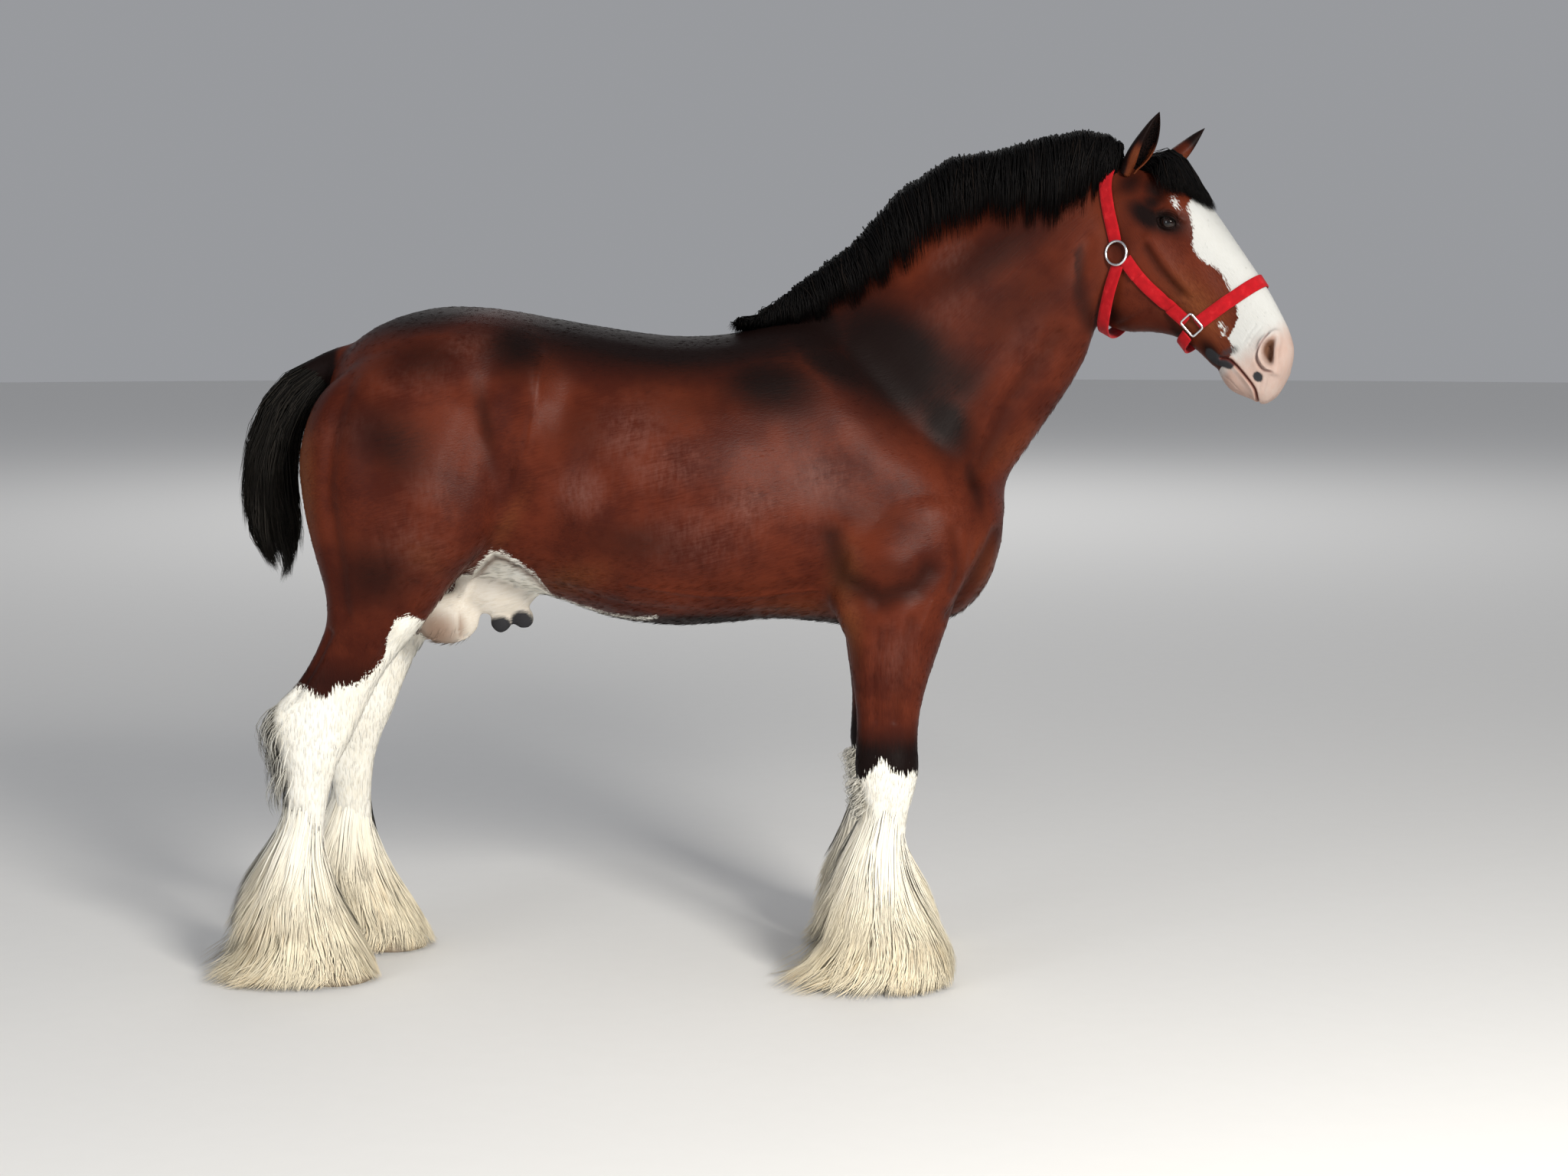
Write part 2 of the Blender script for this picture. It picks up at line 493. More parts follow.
face = {
    "eye": (0.243, 0.0885, 0.024),
    "eyeRadius": 0.0235,
    "opening": (0.0228, 0.0135),  # half length and half height of the slit between the lids
    "slitLean": 36.0,  # degrees the slit climbs towards the front
    "nostril": (0.662, 0.028),
    "nostrilLean": -40.0,
    "nostrilSize": (0.0345, 0.016),
    "nostrilCrease": ((0.626, 0.052), (0.64, 0.018), (0.66, -0.007), (0.69, -0.01), (0.708, 0.002)),
    # bulges, and dips below 0: x, |y|, z, radius along x, y and z, height
    "bulges": (
        (0.222, 0.085, 0.066, 0.04, 0.05, 0.02, 0.007), (0.255, 0.1, -0.165, 0.105, 0.08, 0.085, 0.009),
        (0.33, 0.06, 0.08, 0.08, 0.05, 0.03, 0.002), (0.672, 0.02, -0.118, 0.032, 0.05, 0.02, 0.006),
        (0.716, 0.03, 0.004, 0.03, 0.05, 0.03, 0.004), (0.69, 0.045, -0.052, 0.04, 0.04, 0.014, 0.003),
        (0.66, 0.048, -0.092, 0.034, 0.04, 0.012, 0.003), (0.56, 0.058, -0.07, 0.05, 0.04, 0.03, 0.003),
        (0.12, 0.085, -0.03, 0.05, 0.05, 0.035, 0.004), (0.165, 0.085, 0.046, 0.026, 0.05, 0.019, -0.01),
        (0.31, 0.09, 0.004, 0.055, 0.05, 0.022, -0.005), (0.45, 0.07, 0.04, 0.08, 0.04, 0.03, -0.005),
        (0.4, 0.08, -0.105, 0.05, 0.05, 0.04, -0.005), (0.612, 0.0, -0.13, 0.014, 0.06, 0.02, -0.005),
        (0.18, 0.1, -0.1, 0.045, 0.05, 0.05, -0.003),
    ),
    # rolls and folds of the lids: height, distance from the slit, width, then 1 above the slit and -1 below, from, to
    "lids": (
        (-0.0026, 0.0088, 0.0022, 1, 0.0, 0.01), (-0.0016, 0.015, 0.0022, 1, 0.004, 0.014),
        (-0.0016, 0.01, 0.0024, -1, 0.002, 0.01), (0.0035, 0.02, 0.008, 1, 0.004, 0.018),
    ),
    # ridges and creases: height (below 0 sinks), width, line of x and z
    "lines": (
        (0.005, 0.014, ((0.246, -0.04), (0.301, -0.044), (0.35, -0.046), (0.394, -0.044), (0.415, -0.04))),
        (-0.004, 0.014, ((0.262, -0.062), (0.32, -0.068), (0.38, -0.068), (0.42, -0.06))),
        (0.002, 0.004, ((0.392, -0.16), (0.4, -0.11), (0.43, -0.07), (0.455, -0.02), (0.49, 0.01))),
        (0.0014, 0.003, ((0.43, -0.07), (0.5, -0.062), (0.56, -0.048))),
        (-0.003, 0.006, ((0.352, -0.285), (0.372, -0.215), (0.385, -0.16))),
        (-0.0014, 0.0024, ((0.6, 0.05), (0.608, 0.022), (0.62, -0.006))),
        (-0.0013, 0.0022, ((0.588, 0.04), (0.596, 0.014), (0.604, -0.008))),
        (-0.0012, 0.002, ((0.7, -0.018), (0.716, -0.036), (0.728, -0.05))),
        (-0.0012, 0.002, ((0.712, -0.01), (0.727, -0.028), (0.738, -0.044))),
        (-0.001, 0.0022, ((0.604, -0.098), (0.59, -0.086), (0.584, -0.07))),
        (-0.001, 0.002, ((0.64, -0.108), (0.66, -0.098), (0.69, -0.096))),
    ),
    # the line of the lips from its corner to the middle of the mouth: x, |y|, z
    "mouth": (
        (0.6, 0.052, -0.085), (0.614, 0.055, -0.07), (0.634, 0.056, -0.063), (0.666, 0.056, -0.058),
        (0.7, 0.052, -0.056), (0.722, 0.042, -0.06), (0.738, 0.024, -0.072), (0.744, 0.0, -0.08),
    ),
}


def mirrored(head):
    # x, |y| and z in the head's frame
    return np.column_stack((head[:, 0], np.abs(head[:, 1]), head[:, 2]))


def eyeSlit(head):
    # distance outside the slit between the lids, below 0 inside it, distance from its middle, and how far above it
    x, _, z = face["eye"]
    along, up = leaning(head, x, z, -face["slitLean"])
    wide, high = face["opening"]
    # pointed at both ends: the half height shrinks towards the corners
    lid = high * np.sqrt(np.clip(1 - (along / wide) ** 2, 0, 1)) ** 0.9
    outside = np.hypot(np.maximum(np.abs(along) - wide, 0), np.maximum(np.abs(up) - lid, 0))
    inside = np.minimum(wide - np.abs(along), lid - np.abs(up))
    return np.where(outside > 0, outside, -np.maximum(inside, 0)), np.hypot(along, up), up


def mouthDistance(head):
    return lineDistance(head[:, [0, 2]], curveRows(face["mouth"], 4)[:, [0, 2]]) + 0.03 * ramp(-head[:, 2], 0.13, 0.2)


def nostrilCrease(head):
    return lineDistance(head[:, [0, 2]], curveRows(face["nostrilCrease"], 5))


def nostrilOval(head):
    # 1 on the nostril's edge, bent like a comma and hollow towards the nose, and the distance across it
    along, across = leaning(head, *face["nostril"], -face["nostrilLean"])
    long, wide = face["nostrilSize"]
    across = across - 0.22 * (along**2) / long
    return np.hypot(along / long, across / wide), across


def sculptHead(points, normals):
    head = toHead(points)
    side = np.where(head[:, 1] < 0, -1.0, 1.0)
    halved = mirrored(head)
    onHead = ramp(points[:, 0], 0.76, 0.84) * ramp(head[:, 0], -0.02, 0.06)
    raised = np.zeros(len(points))
    for x, y, z, spanX, spanY, spanZ, height in face["bulges"]:
        gap = (halved - (x, y, z)) / (spanX, spanY, spanZ)
        raised += height * np.exp(-(gap**2).sum(1))
    sideways = ramp(halved[:, 1], 0.02, 0.045)
    for height, width, line in face["lines"]:
        raised += height * bell(lineDistance(head[:, [0, 2]], line), width) * sideways
    raised -= 0.0055 * bell(nostrilCrease(head), 0.0038) * sideways
    lips = mouthDistance(head)
    raised += 0.0032 * bell(lips, 0.013) - 0.011 * bell(lips, 0.004)
    oval, across = nostrilOval(head)
    rim = 0.0085 * bell(oval - 1.42, 0.36) * (1 - 0.45 * ramp(across, 0, 0.02))
    raised += (rim - 0.03 * (1 - ramp(oval, 0.62, 1.12))) * ramp(halved[:, 1], 0.02, 0.04)
    head = toHead(points + normals * (raised * onHead)[:, None])
    # lids: the skin rides over the eyeball and turns in at the slit
    eyeY, radius = face["eye"][1], face["eyeRadius"]
    slit, away, up = eyeSlit(head)
    depth = np.abs(head[:, 1])
    near = (away < 0.075) & (depth > 0.03) & (onHead > 0)
    lidRadius = radius + 0.0022
    ball = eyeY + np.sqrt(np.clip(lidRadius**2 - away**2, 0, None))
    over = np.maximum(depth, np.where(away < lidRadius, ball, 0))
    over += 0.0022 * bell(slit - 0.003, 0.0026)
    for height, out, width, way, low, high in face["lids"]:
        over += height * bell(slit - out, width) * ramp(way * up, low, high)
    inner = eyeY + np.sqrt(np.clip((radius - 0.004) ** 2 - away**2, 0, None)) * 0.9
    opened = ramp(-slit, -0.001, 0.001)
    head[:, 1] = side * np.where(near, over * (1 - opened) + np.minimum(over, inner) * opened, depth)
    return fromHead(head)


def refine(shape, weights, level):
    # halves every edge whose two ends both weigh at least this level
    shape.verts.ensure_lookup_table()
    chosen = [edge for edge in shape.edges if min(weights[vert.index] for vert in edge.verts) >= level]
    bmesh.ops.subdivide_edges(shape, edges=chosen, cuts=1, use_grid_fill=False)
    bmesh.ops.triangulate(shape, faces=[each for each in shape.faces if len(each.verts) > 3])


def detailWeights(points):
    # 1 where the skin is halved once, 2 twice: the muzzle, the lids, the nostrils and the lips
    halved = mirrored(toHead(points))
    away, oval, lips = eyeSlit(halved)[1], nostrilOval(halved)[0], mouthDistance(halved)
    deep, onHead = halved[:, 1] > 0.05, points[:, 0] > 0.8
    weights = np.zeros(len(points))
    zones = (
        (halved[:, 0] > 0.55, 1),
        ((away < 0.05) & deep, 1),
        ((away < 0.031) & deep, 2),
        ((oval < 2.0) & (halved[:, 1] > 0.02), 2),
        (lips < 0.009, 2),
    )
    for zone, weight in zones:
        weights[zone & onHead] = weight
    return weights


ears = {
    "right": {"root": (0.055, -0.066, 0.022), "tip": (-0.004, -0.09, 0.17), "width": 0.034},
    "left": {"root": (0.076, 0.074, 0.058), "tip": (0.054, 0.104, 0.196), "width": 0.034},
    # share of the length, half width, how far the edges close round the front in degrees from the back, wall
    "rows": (
        (-0.16, 0.62, 165, 0.2), (0.0, 0.78, 160, 0.17), (0.12, 0.92, 150, 0.15), (0.28, 1.0, 136, 0.13),
        (0.45, 0.96, 124, 0.12), (0.62, 0.8, 116, 0.11), (0.78, 0.56, 110, 0.1), (0.9, 0.3, 106, 0.08),
        (0.98, 0.09, 100, 0.035), (1.0, 0.03, 96, 0.012),
    ),
}


def earFrame(hand):
    # root, length, width, and three directions: to the tip, out of the cup, across
    root, tip = np.array(ears[hand]["root"]), np.array(ears[hand]["tip"])
    axis = unit(tip - root)
    out = np.array((0.84, hands[hand] * 0.32, 0.2))
    out = unit(out - axis * (out @ axis))
    return root, np.linalg.norm(tip - root), ears[hand]["width"], axis, out, np.cross(axis, out)


def earShell(hand):
    # a leaf rolled into a cup: each section is an arc seen from the tip, with an inner arc one wall inside it
    root, length, width, axis, out, across = earFrame(hand)
    share, half, close, wall = curveRows(ears["rows"], 5).T
    bow = 0.01 * np.sin(np.clip(share, 0, 1) * math.pi)
    middle = root + axis * (share * length)[:, None] + out * bow[:, None]
    middle = middle + out * (0.006 * share**2)[:, None]
    turn = np.linspace(-1, 1, 19)[None, :] * np.radians(close)[:, None]
    outer, inner = half[:, None] * width, (half - wall)[:, None] * width
    def arc(radius, angles):
        back = -out * 0.8 * (np.cos(angles) * radius)[..., None]
        return middle[:, None, :] + back + across * (np.sin(angles) * radius)[..., None]
    shell = np.concatenate((arc(outer, turn), arc(np.maximum(inner, 0.0004), turn[:, ::-1] * 0.97)), axis=1)
    return cappedTube(fromHead(shell))


# markings: numbers in metres from an edge, or shares, worked out from the place alone

marks = {
    # near edge of the white on the face, in the head's frame: x and z
    "blaze": (
        (0.19, 0.15), (0.225, 0.096), (0.236, 0.086), (0.262, 0.078), (0.298, 0.063), (0.33, 0.036),
        (0.355, 0.032), (0.379, 0.034), (0.417, 0.051), (0.458, 0.045), (0.52, 0.03), (0.546, 0.016),
        (0.559, -0.006), (0.571, -0.032), (0.601, -0.042),
        (0.612, -0.059), (0.618, -0.085), (0.622, -0.16), (0.66, -0.2), (0.8, -0.22),
    ),
    "spot": (0.212, 0.068, 0.012, 0.005),  # small white spot above the eye: place, half length, half width
    "flecks": ((0.534, -0.032, 0.006), (0.549, -0.028, 0.005), (0.556, -0.04, 0.004)),
    "lipSpot": (0.7, -0.031, 0.0145),
    # white between the hind legs: middle, stretch along each axis, radius
    "groin": ((-0.85, 0, 0.99), (0.58, 1.0, 0.95), 0.125),
    "streak": ((-0.62, 1.02), (-0.56, 1.0), (-0.47, 0.975), (-0.38, 0.968), (-0.34, 0.976)),
    "bag": (-0.93, 0, 0.935),
    "tips": ((-0.771, 0, 0.93), (-0.712, 0, 0.944)),
    # dark lines under the cheek's crest and behind the jaw, in the head's frame
    "crest": ((0.262, -0.06), (0.32, -0.066), (0.4, -0.062)),
    "throat": ((0.12, -0.19), (0.244, -0.27), (0.33, -0.31)),
    # grey at the corner of the mouth: amount, width, line
    "mouthGreys": (
        (1.05, 0.015, ((0.572, -0.104), (0.597, -0.096), (0.626, -0.074))),
        (0.48, 0.02, ((0.6, -0.066), (0.606, -0.04))),
    ),
    # top of the white on the hind legs, seen from the side: x and z
    "hindWhite": (
        (-1.4, 0.8), (-1.271, 0.79), (-1.243, 0.782), (-1.214, 0.762), (-1.182, 0.801),
        (-1.137, 0.8), (-1.091, 0.832),
        (-1.056, 0.872), (-1.043, 0.923), (-1.017, 0.98), (-0.98, 0.995), (-0.94, 0.96),
    ),
    "foreWhite": (
        (0.18, 0.555), (0.204, 0.556), (0.223, 0.58), (0.253, 0.616), (0.283, 0.59), (0.309, 0.574),
        (0.334, 0.588), (0.36, 0.566),
    ),
    # shades on the body seen from the side: x, z, half length, half height, degrees leaning, darkening
    "shades": (
        (0.28, 1.66, 0.26, 0.17, 40, 1.0), (-0.04, 1.6, 0.19, 0.11, 10, 0.82), (-0.52, 1.48, 0.12, 0.12, 0, 0.34),
        (0.45, 1.6, 0.1, 0.12, 50, 0.7), (0.06, 1.74, 0.22, 0.11, 20, 0.95), (0.42, 1.5, 0.14, 0.09, 62, 0.85),
        (0.5, 1.33, 0.11, 0.03, 75, 0.6), (0.56, 1.94, 0.33, 0.1, -34, 0.58), (-0.3, 1.74, 0.56, 0.15, 2, 1.05),
        (-0.15, 1.54, 0.38, 0.09, 0, 0.35), (-0.93, 1.66, 0.16, 0.08, -8, 0.55), (-0.69, 1.7, 0.13, 0.11, 5, 0.8),
        (-0.95, 1.78, 0.3, 0.07, -8, 0.8), (-1.02, 1.45, 0.16, 0.11, 40, 0.6), (-0.77, 1.5, 0.15, 0.03, 80, 0.5),
        (-0.38, 1.19, 0.2, 0.075, 5, 0.45), (-1.06, 1.1, 0.13, 0.12, 0, 0.6), (0.3, 1.12, 0.12, 0.05, 0, 0.35),
        (0.85, 1.82, 0.16, 0.04, 80, 0.45), (-0.2, 0.965, 0.3, 0.028, 0, 0.8), (0.25, 1.25, 0.2, 0.06, 15, 0.3),
        (0.6, 1.8, 0.26, 0.16, -40, 0.42), (0.15, 1.64, 0.25, 0.08, 30, 0.85),
    ),
    # lighter, greyer bloom where the coat shines, in the same terms
    "blooms": (
        (-0.4, 1.47, 0.12, 0.09, -25, 0.75), (-0.29, 1.39, 0.15, 0.08, -10, 0.65), (-0.1, 1.28, 0.11, 0.08, 0, 0.7),
        (-0.52, 1.32, 0.08, 0.08, 0, 0.75), (-0.92, 1.33, 0.08, 0.07, 0, 0.6), (0.11, 1.35, 0.11, 0.08, 0, 0.7),
        (0.44, 1.925, 0.07, 0.045, -30, 0.8), (-0.23, 1.2, 0.19, 0.1, 0, 0.62), (0.1, 1.24, 0.13, 0.1, 0, 0.35),
        (-0.8, 1.7, 0.11, 0.05, -10, 0.75), (-0.93, 1.62, 0.17, 0.06, -8, 0.5), (-0.85, 1.33, 0.06, 0.2, 75, 0.38),
        (-0.96, 1.18, 0.12, 0.12, 0, 0.55), (-1.12, 1.48, 0.06, 0.12, 80, 0.45), (0.42, 1.78, 0.16, 0.06, -30, 0.5),
        (0.64, 1.69, 0.1, 0.11, 0, 0.35), (0.4, 1.26, 0.1, 0.09, 0, 0.3), (0.29, 0.89, 0.06, 0.11, 0, 0.55),
        (-0.64, 1.56, 0.11, 0.014, 80, 0.6),
    ),
    # creases painted darker too: name in lines, amount
    "creases": (
        ("underTriceps", 0.55), ("breast", 0.45), ("shoulderGroove", 0.3), ("jugular", 0.35),
        ("foreGroove", 0.25), ("gaskinLine", 0.25),
    ),
    # shades on the face, in the head's frame, in the same terms
    "faceShades": (
        (0.24, 0.022, 0.058, 0.036, -30, 1.0), (0.195, -0.01, 0.07, 0.034, -18, 0.95),
        (0.15, 0.04, 0.06, 0.03, 0, 0.75), (0.085, 0.0, 0.06, 0.045, 0, 0.7), (0.33, -0.066, 0.08, 0.024, 2, 0.4),
        (0.29, -0.27, 0.11, 0.04, -20, 0.8), (0.5, -0.145, 0.09, 0.024, 8, 0.7),
        (0.575, -0.1, 0.05, 0.026, 0, 0.85), (0.2, -0.12, 0.05, 0.06, 0, 0.4), (0.4, -0.13, 0.08, 0.04, 0, 0.3),
    ),
    # orange light at folds and edges
    "warms": (
        (-1.255, 1.33, 0.04, 0.23, 0, 0.9), (-0.72, 1.23, 0.03, 0.11, 30, 0.5), (0.16, 1.1, 0.05, 0.11, 0, 0.7),
        (0.17, 0.96, 0.04, 0.11, 0, 0.7), (0.54, 1.1, 0.06, 0.11, 0, 0.45), (-0.56, 1.08, 0.13, 0.05, -20, 0.6),
        (-0.93, 1.15, 0.07, 0.05, 40, 0.4), (-0.25, 1.56, 0.33, 0.06, 0, 0.15), (0.6, 1.42, 0.06, 0.14, 60, 0.3),
        (0.03, 0.995, 0.16, 0.04, 0, 0.5),
    ),
}


def patches(flat, rows):
    # the largest of many leaning ovals, each fading out as a bell
    most = np.zeros(len(flat))
    for x, z, halfLength, halfHeight, lean, amount in rows:
        most = np.maximum(most, amount * ovalBell(*leaning(flat, x, z, lean), halfLength, halfHeight))
    return most


def markings(points):
    # white, pink and grey where they lie, darker and lighter hair over them, and which part of the body it is
    head = toHead(points)
    long, depth, out = mirrored(head).T
    profile = head[:, [0, 2]]
    x, y, z = points.T
    flat = points[:, [0, 2]]
    onHead = ramp(x, 0.8, 0.86) * ramp(z, 1.42, 1.5) * ramp(long, 0.02, 0.1)
    white = np.full(len(points), -1.0)
    # face
    blaze = np.minimum(out - readRows(marks["blaze"], long)[1], long - 0.205)
    spotX, spotZ, spotLong, spotHigh = marks["spot"]
    spot = (1 - np.hypot((long - spotX) / spotLong, (out - spotZ) / spotHigh)) * spotHigh
    spot = np.where((head[:, 1] < 0) & (depth > 0.05), spot, -1)
    blaze = np.maximum(blaze, spot)
    for fleckX, fleckZ, size in marks["flecks"]:
        blaze = np.maximum(blaze, size - np.hypot(long - fleckX, out - fleckZ))
    white = np.where(onHead > 0.5, blaze, white)
    # legs
    ahead = reachAt(z, 1) * (y >= 0)
    hind = (x < -0.6) & (z < 1.1) & (np.abs(y) > 0.06) & (x - ahead < -0.92 - 0.3 * (z - 0.95))
    hindEdge = np.where(np.abs(y) < 0.165, 0.9, readRows(marks["hindWhite"], x - ahead)[1])
    white = np.where(hind, hindEdge - z, white)
    fore = (x > 0.0) & (z < 0.9)
    white = np.where(fore, readRows(marks["foreWhite"], x)[1] - z, white)
    # belly, groin and the folds beside it
    middle, stretch, radius = marks["groin"]
    groin = radius - np.linalg.norm((points - middle) * stretch, axis=1)
    fold = underArch(points) * 0.8
    streak = np.where((z < 1.03) & (y < 0), 0.004 - lineDistance(flat, marks["streak"]), -1)
    lowBody = (x < -0.25) & (x > -1.08) & (z > 0.84) & (z < 1.19)
    white = np.where(lowBody, np.maximum.reduce((white, groin, fold, streak)), white)
    # black of the knees, rims of the eyes, ears and mouth corner
    black = 0.9 * np.where(fore, 1 - ramp(z, 0.6, 0.755), 0)
    hock = np.where(hind, 0.55 * (1 - ramp(z, 0.8, 0.94)), 0)
    slit = np.maximum(eyeSlit(head)[0], 0)
    eyeSide = (depth > 0.05) & (onHead > 0)
    rims = np.where(eyeSide, np.maximum(bell(slit, 0.0075), 0.75 * bell(slit, 0.018)), 0)
    browDark = np.where(eyeSide, 0.75 * ovalBell(long - 0.175, out - 0.02, 0.035, 0.04), 0)
    crest = np.where(eyeSide, 0.45 * bell(lineDistance(profile, marks["crest"]), 0.02), 0)
    jaw = np.where(onHead > 0.5, 0.5 * ovalBell(long - 0.5, out + 0.145, 0.07, 0.02), 0)
    throat = np.where((x > 0.76) & (z < 1.95), 0.55 * bell(lineDistance(profile, marks["throat"]), 0.03), 0)
    dark = np.maximum.reduce((black, hock, rims, browDark, crest, jaw, throat))
    dark = np.maximum(dark, patches(flat, marks["shades"]) * (1 - onHead) * (z > 0.8))
    dark = np.maximum(dark, patches(profile, marks["faceShades"]) * onHead * (depth > 0.02))
    for key, amount in marks["creases"]:
        _, width, line = lines[key]
        crease = amount * bell(lineDistance(flat, line), width + 0.012)
        dark = np.maximum(dark, crease * (1 - onHead) * (np.abs(y) > 0.08))
    below = (np.abs(x) < 0.6) & (z < 1.05) & (np.abs(y) < 0.2)
    underside = np.where(below, 0.7 * (1 - ramp(z, 0.955, 1.0)), 0)
    dockSkin = (x < -1.16) & (z > 1.45) & (np.abs(y) < 0.07)
    dark = np.maximum.reduce((dark, underside, np.where(dockSkin, ramp(-x, 1.17, 1.22), 0)))
    # pink skin: lips, round the nostrils, between the hind legs
    lips = mouthDistance(head)
    oval = nostrilOval(head)[0]
    flank = depth > 0.02
    pink = np.maximum(bell(lips, 0.013), np.where(flank, 0.75 * (1 - ramp(oval, 0.9, 1.9)), 0))
    pink = np.maximum(pink, 0.8 * ramp(long, 0.6, 0.66) * (1 - ramp(out, -0.085, -0.05)))
    pink = np.maximum(pink, 0.74 * ramp(long, 0.57, 0.68))
    crease = np.where(flank, bell(nostrilCrease(head), 0.0036), 0)
    lip = np.maximum(0.95 * bell(lips, 0.0042), 0.55 * crease) * onHead
    pink *= onHead
    spotX, spotZ, size = marks["lipSpot"]
    grey = 1.1 * bell(np.hypot(long - spotX, (out - spotZ) * 1.2), size) * (head[:, 1] < 0)
    for amount, width, line in marks["mouthGreys"]:
        grey = np.maximum(grey, amount * bell(lineDistance(profile, line), width))
    grey = grey * (onHead > 0.5)
    for place in marks["tips"]:
        grey = np.maximum(grey, 1.1 * bell(np.linalg.norm(points - place, axis=1), 0.034))
    bag = np.where(lowBody, 0.3 * ramp(groin, 0, 0.03), 0)
    hang = np.linalg.norm((points - marks["bag"]) * (1, 1, 1.2), axis=1)
    bag = np.maximum(bag, bell(hang, 0.075) * (x < -0.8))
    # the hole of the nostril, and the shadow under the arch
    hole = np.where(flank, 1 - ramp(oval, 0.7, 1.02), 0) * onHead
    hole = np.maximum(hole, 0.75 * bell(underArch(points) - 0.026, 0.013) * (np.abs(y) > 0.06))
    bloom = patches(flat, marks["blooms"]) * (1 - onHead) * np.clip((np.abs(y) - 0.02) * 12, 0, 1)
    faceBloom = ovalBell(long - 0.33, out + 0.02, 0.1, 0.04) * 0.25 * onHead
    warm = np.maximum(patches(flat, marks["warms"]) * (1 - onHead), 0)
    nose = ovalBell(long - 0.47, out + 0.05, 0.13, 0.06) * 0.75 * onHead
    return {
        "white": white,
        "dark": dark,
        "pink": pink,
        "grey": grey,
        "bag": bag,
        "hole": hole,
        "lip": lip,
        "bloom": np.maximum(bloom, faceBloom),
        "warm": np.maximum(warm, nose),
        "onHead": onHead,
        "onLeg": (1 - ramp(z, 0.8, 1.1)) * (np.abs(y) > 0.05),
        "onNeck": ramp(x, 0.1, 0.5) * ramp(z, 1.3, 1.55) * (1 - onHead),
    }


def buildSkin(finish):
    melt = meltBody()
    mesh = bakeModifiers(melt)
    points, _, edges = readMesh(mesh)
    movePoints(mesh, relax(points, edges, softShare(points), body["softness"]))
    points, normals, _ = readMesh(mesh)
    points = sculptBody(points, normals)
    movePoints(mesh, points)
    head = toHead(points)
    keep = (head[:, 0] > 0.0) & (points[:, 0] > 0.8) & (points[:, 2] > 1.4)
    loose = melt.vertex_groups.new(name="loose")
    loose.add(np.flatnonzero(~keep).tolist(), 1.0, "REPLACE")
    total = 2 * len(mesh.polygons)
    thin = melt.modifiers.new("thin", "DECIMATE")
    thin.vertex_group = "loose"
    thin.ratio = (body["triangles"] + 2 * keep.sum()) / total
    mesh = bakeModifiers(melt)
    print("skin melted:", total, "triangles thinned to", sum(len(each.vertices) - 2 for each in mesh.polygons))
    shape = bmesh.new()
    shape.from_mesh(mesh)
    bmesh.ops.triangulate(shape, faces=shape.faces)
    for level in (1, 2):
        shape.verts.index_update()
        refine(shape, detailWeights(np.array([vert.co[:] for vert in shape.verts])), level)
    shape.to_mesh(mesh)
    shape.free()
    points, _, edges = readMesh(mesh)
    movePoints(mesh, relax(points, edges, np.where(detailWeights(points) > 0, 0.5, 0.0), 4))
    points, normals, _ = readMesh(mesh)
    points = sculptHead(points, normals)
    triangles = np.empty(len(mesh.polygons) * 3, np.int32)
    mesh.polygons.foreach_get("vertices", triangles)
    bpy.data.objects.remove(melt)
    blocks, everyPoint = [triangles.reshape(-1, 3)], [points]
    for hand in hands:
        shell, faces = earShell(hand)
        start = sum(len(each) for each in everyPoint)
        blocks += [block + start for block in faces]
        everyPoint.append(shell)
    allPoints = np.vstack(everyPoint)
    values = markings(allPoints)
    # on the ears: dark outside and at the tip, brown inside
    values["white"][len(points) :] = -1.0
    first = len(points)
    for hand in hands:
        root, length, _, axis, out, _ = earFrame(hand)
        rows = slice(first, first + len(shell))
        local = toHead(allPoints[rows]) - root
        share = local @ axis / length
        cup = ramp(local @ out, 0.002, 0.014) * (1 - ramp(share, 0.3, 0.62))
        back = 1.0 if hand == "right" else 0.3 + 0.7 * ramp(share, 0.45, 0.8)
        values["dark"][rows] = back * (1 - 0.8 * cup)
        values["warm"][rows] = 0.55 * cup
        first += len(shell)
    skin = addMesh("skin", allPoints, blocks, finish, values)
    paired = ("ear", "foreleg", "hindleg", "fore_cannon", "hind_cannon")
    finishPiece(skin, "coat", "torso", "neck", "head", *(f"{part}_{hand}" for part in paired for hand in hands))
    print("skin:", len(skin.data.polygons), "faces")
    return skin, allPoints, blocks[0]


# looks

class Reading:
    # one output of a node, on which sums are written as plain Python
    def __init__(self, look, socket):
        self.look, self.socket = look, socket

    def sum(self, operation, first, second):
        return self.look.node("ShaderNodeMath", {"operation": operation}, {0: first, 1: second})

    def __add__(self, other):
        return self.sum("ADD", self, other)

    def __radd__(self, other):
        return self.sum("ADD", other, self)

    def __sub__(self, other):
        return self.sum("SUBTRACT", self, other)

    def __rsub__(self, other):
        return self.sum("SUBTRACT", other, self)

    def __mul__(self, other):
        return self.sum("MULTIPLY", self, other)

    def __rmul__(self, other):
        return self.sum("MULTIPLY", other, self)

    def __pow__(self, other):
        return self.sum("POWER", self, other)

    def __rpow__(self, other):
        return self.sum("POWER", other, self)


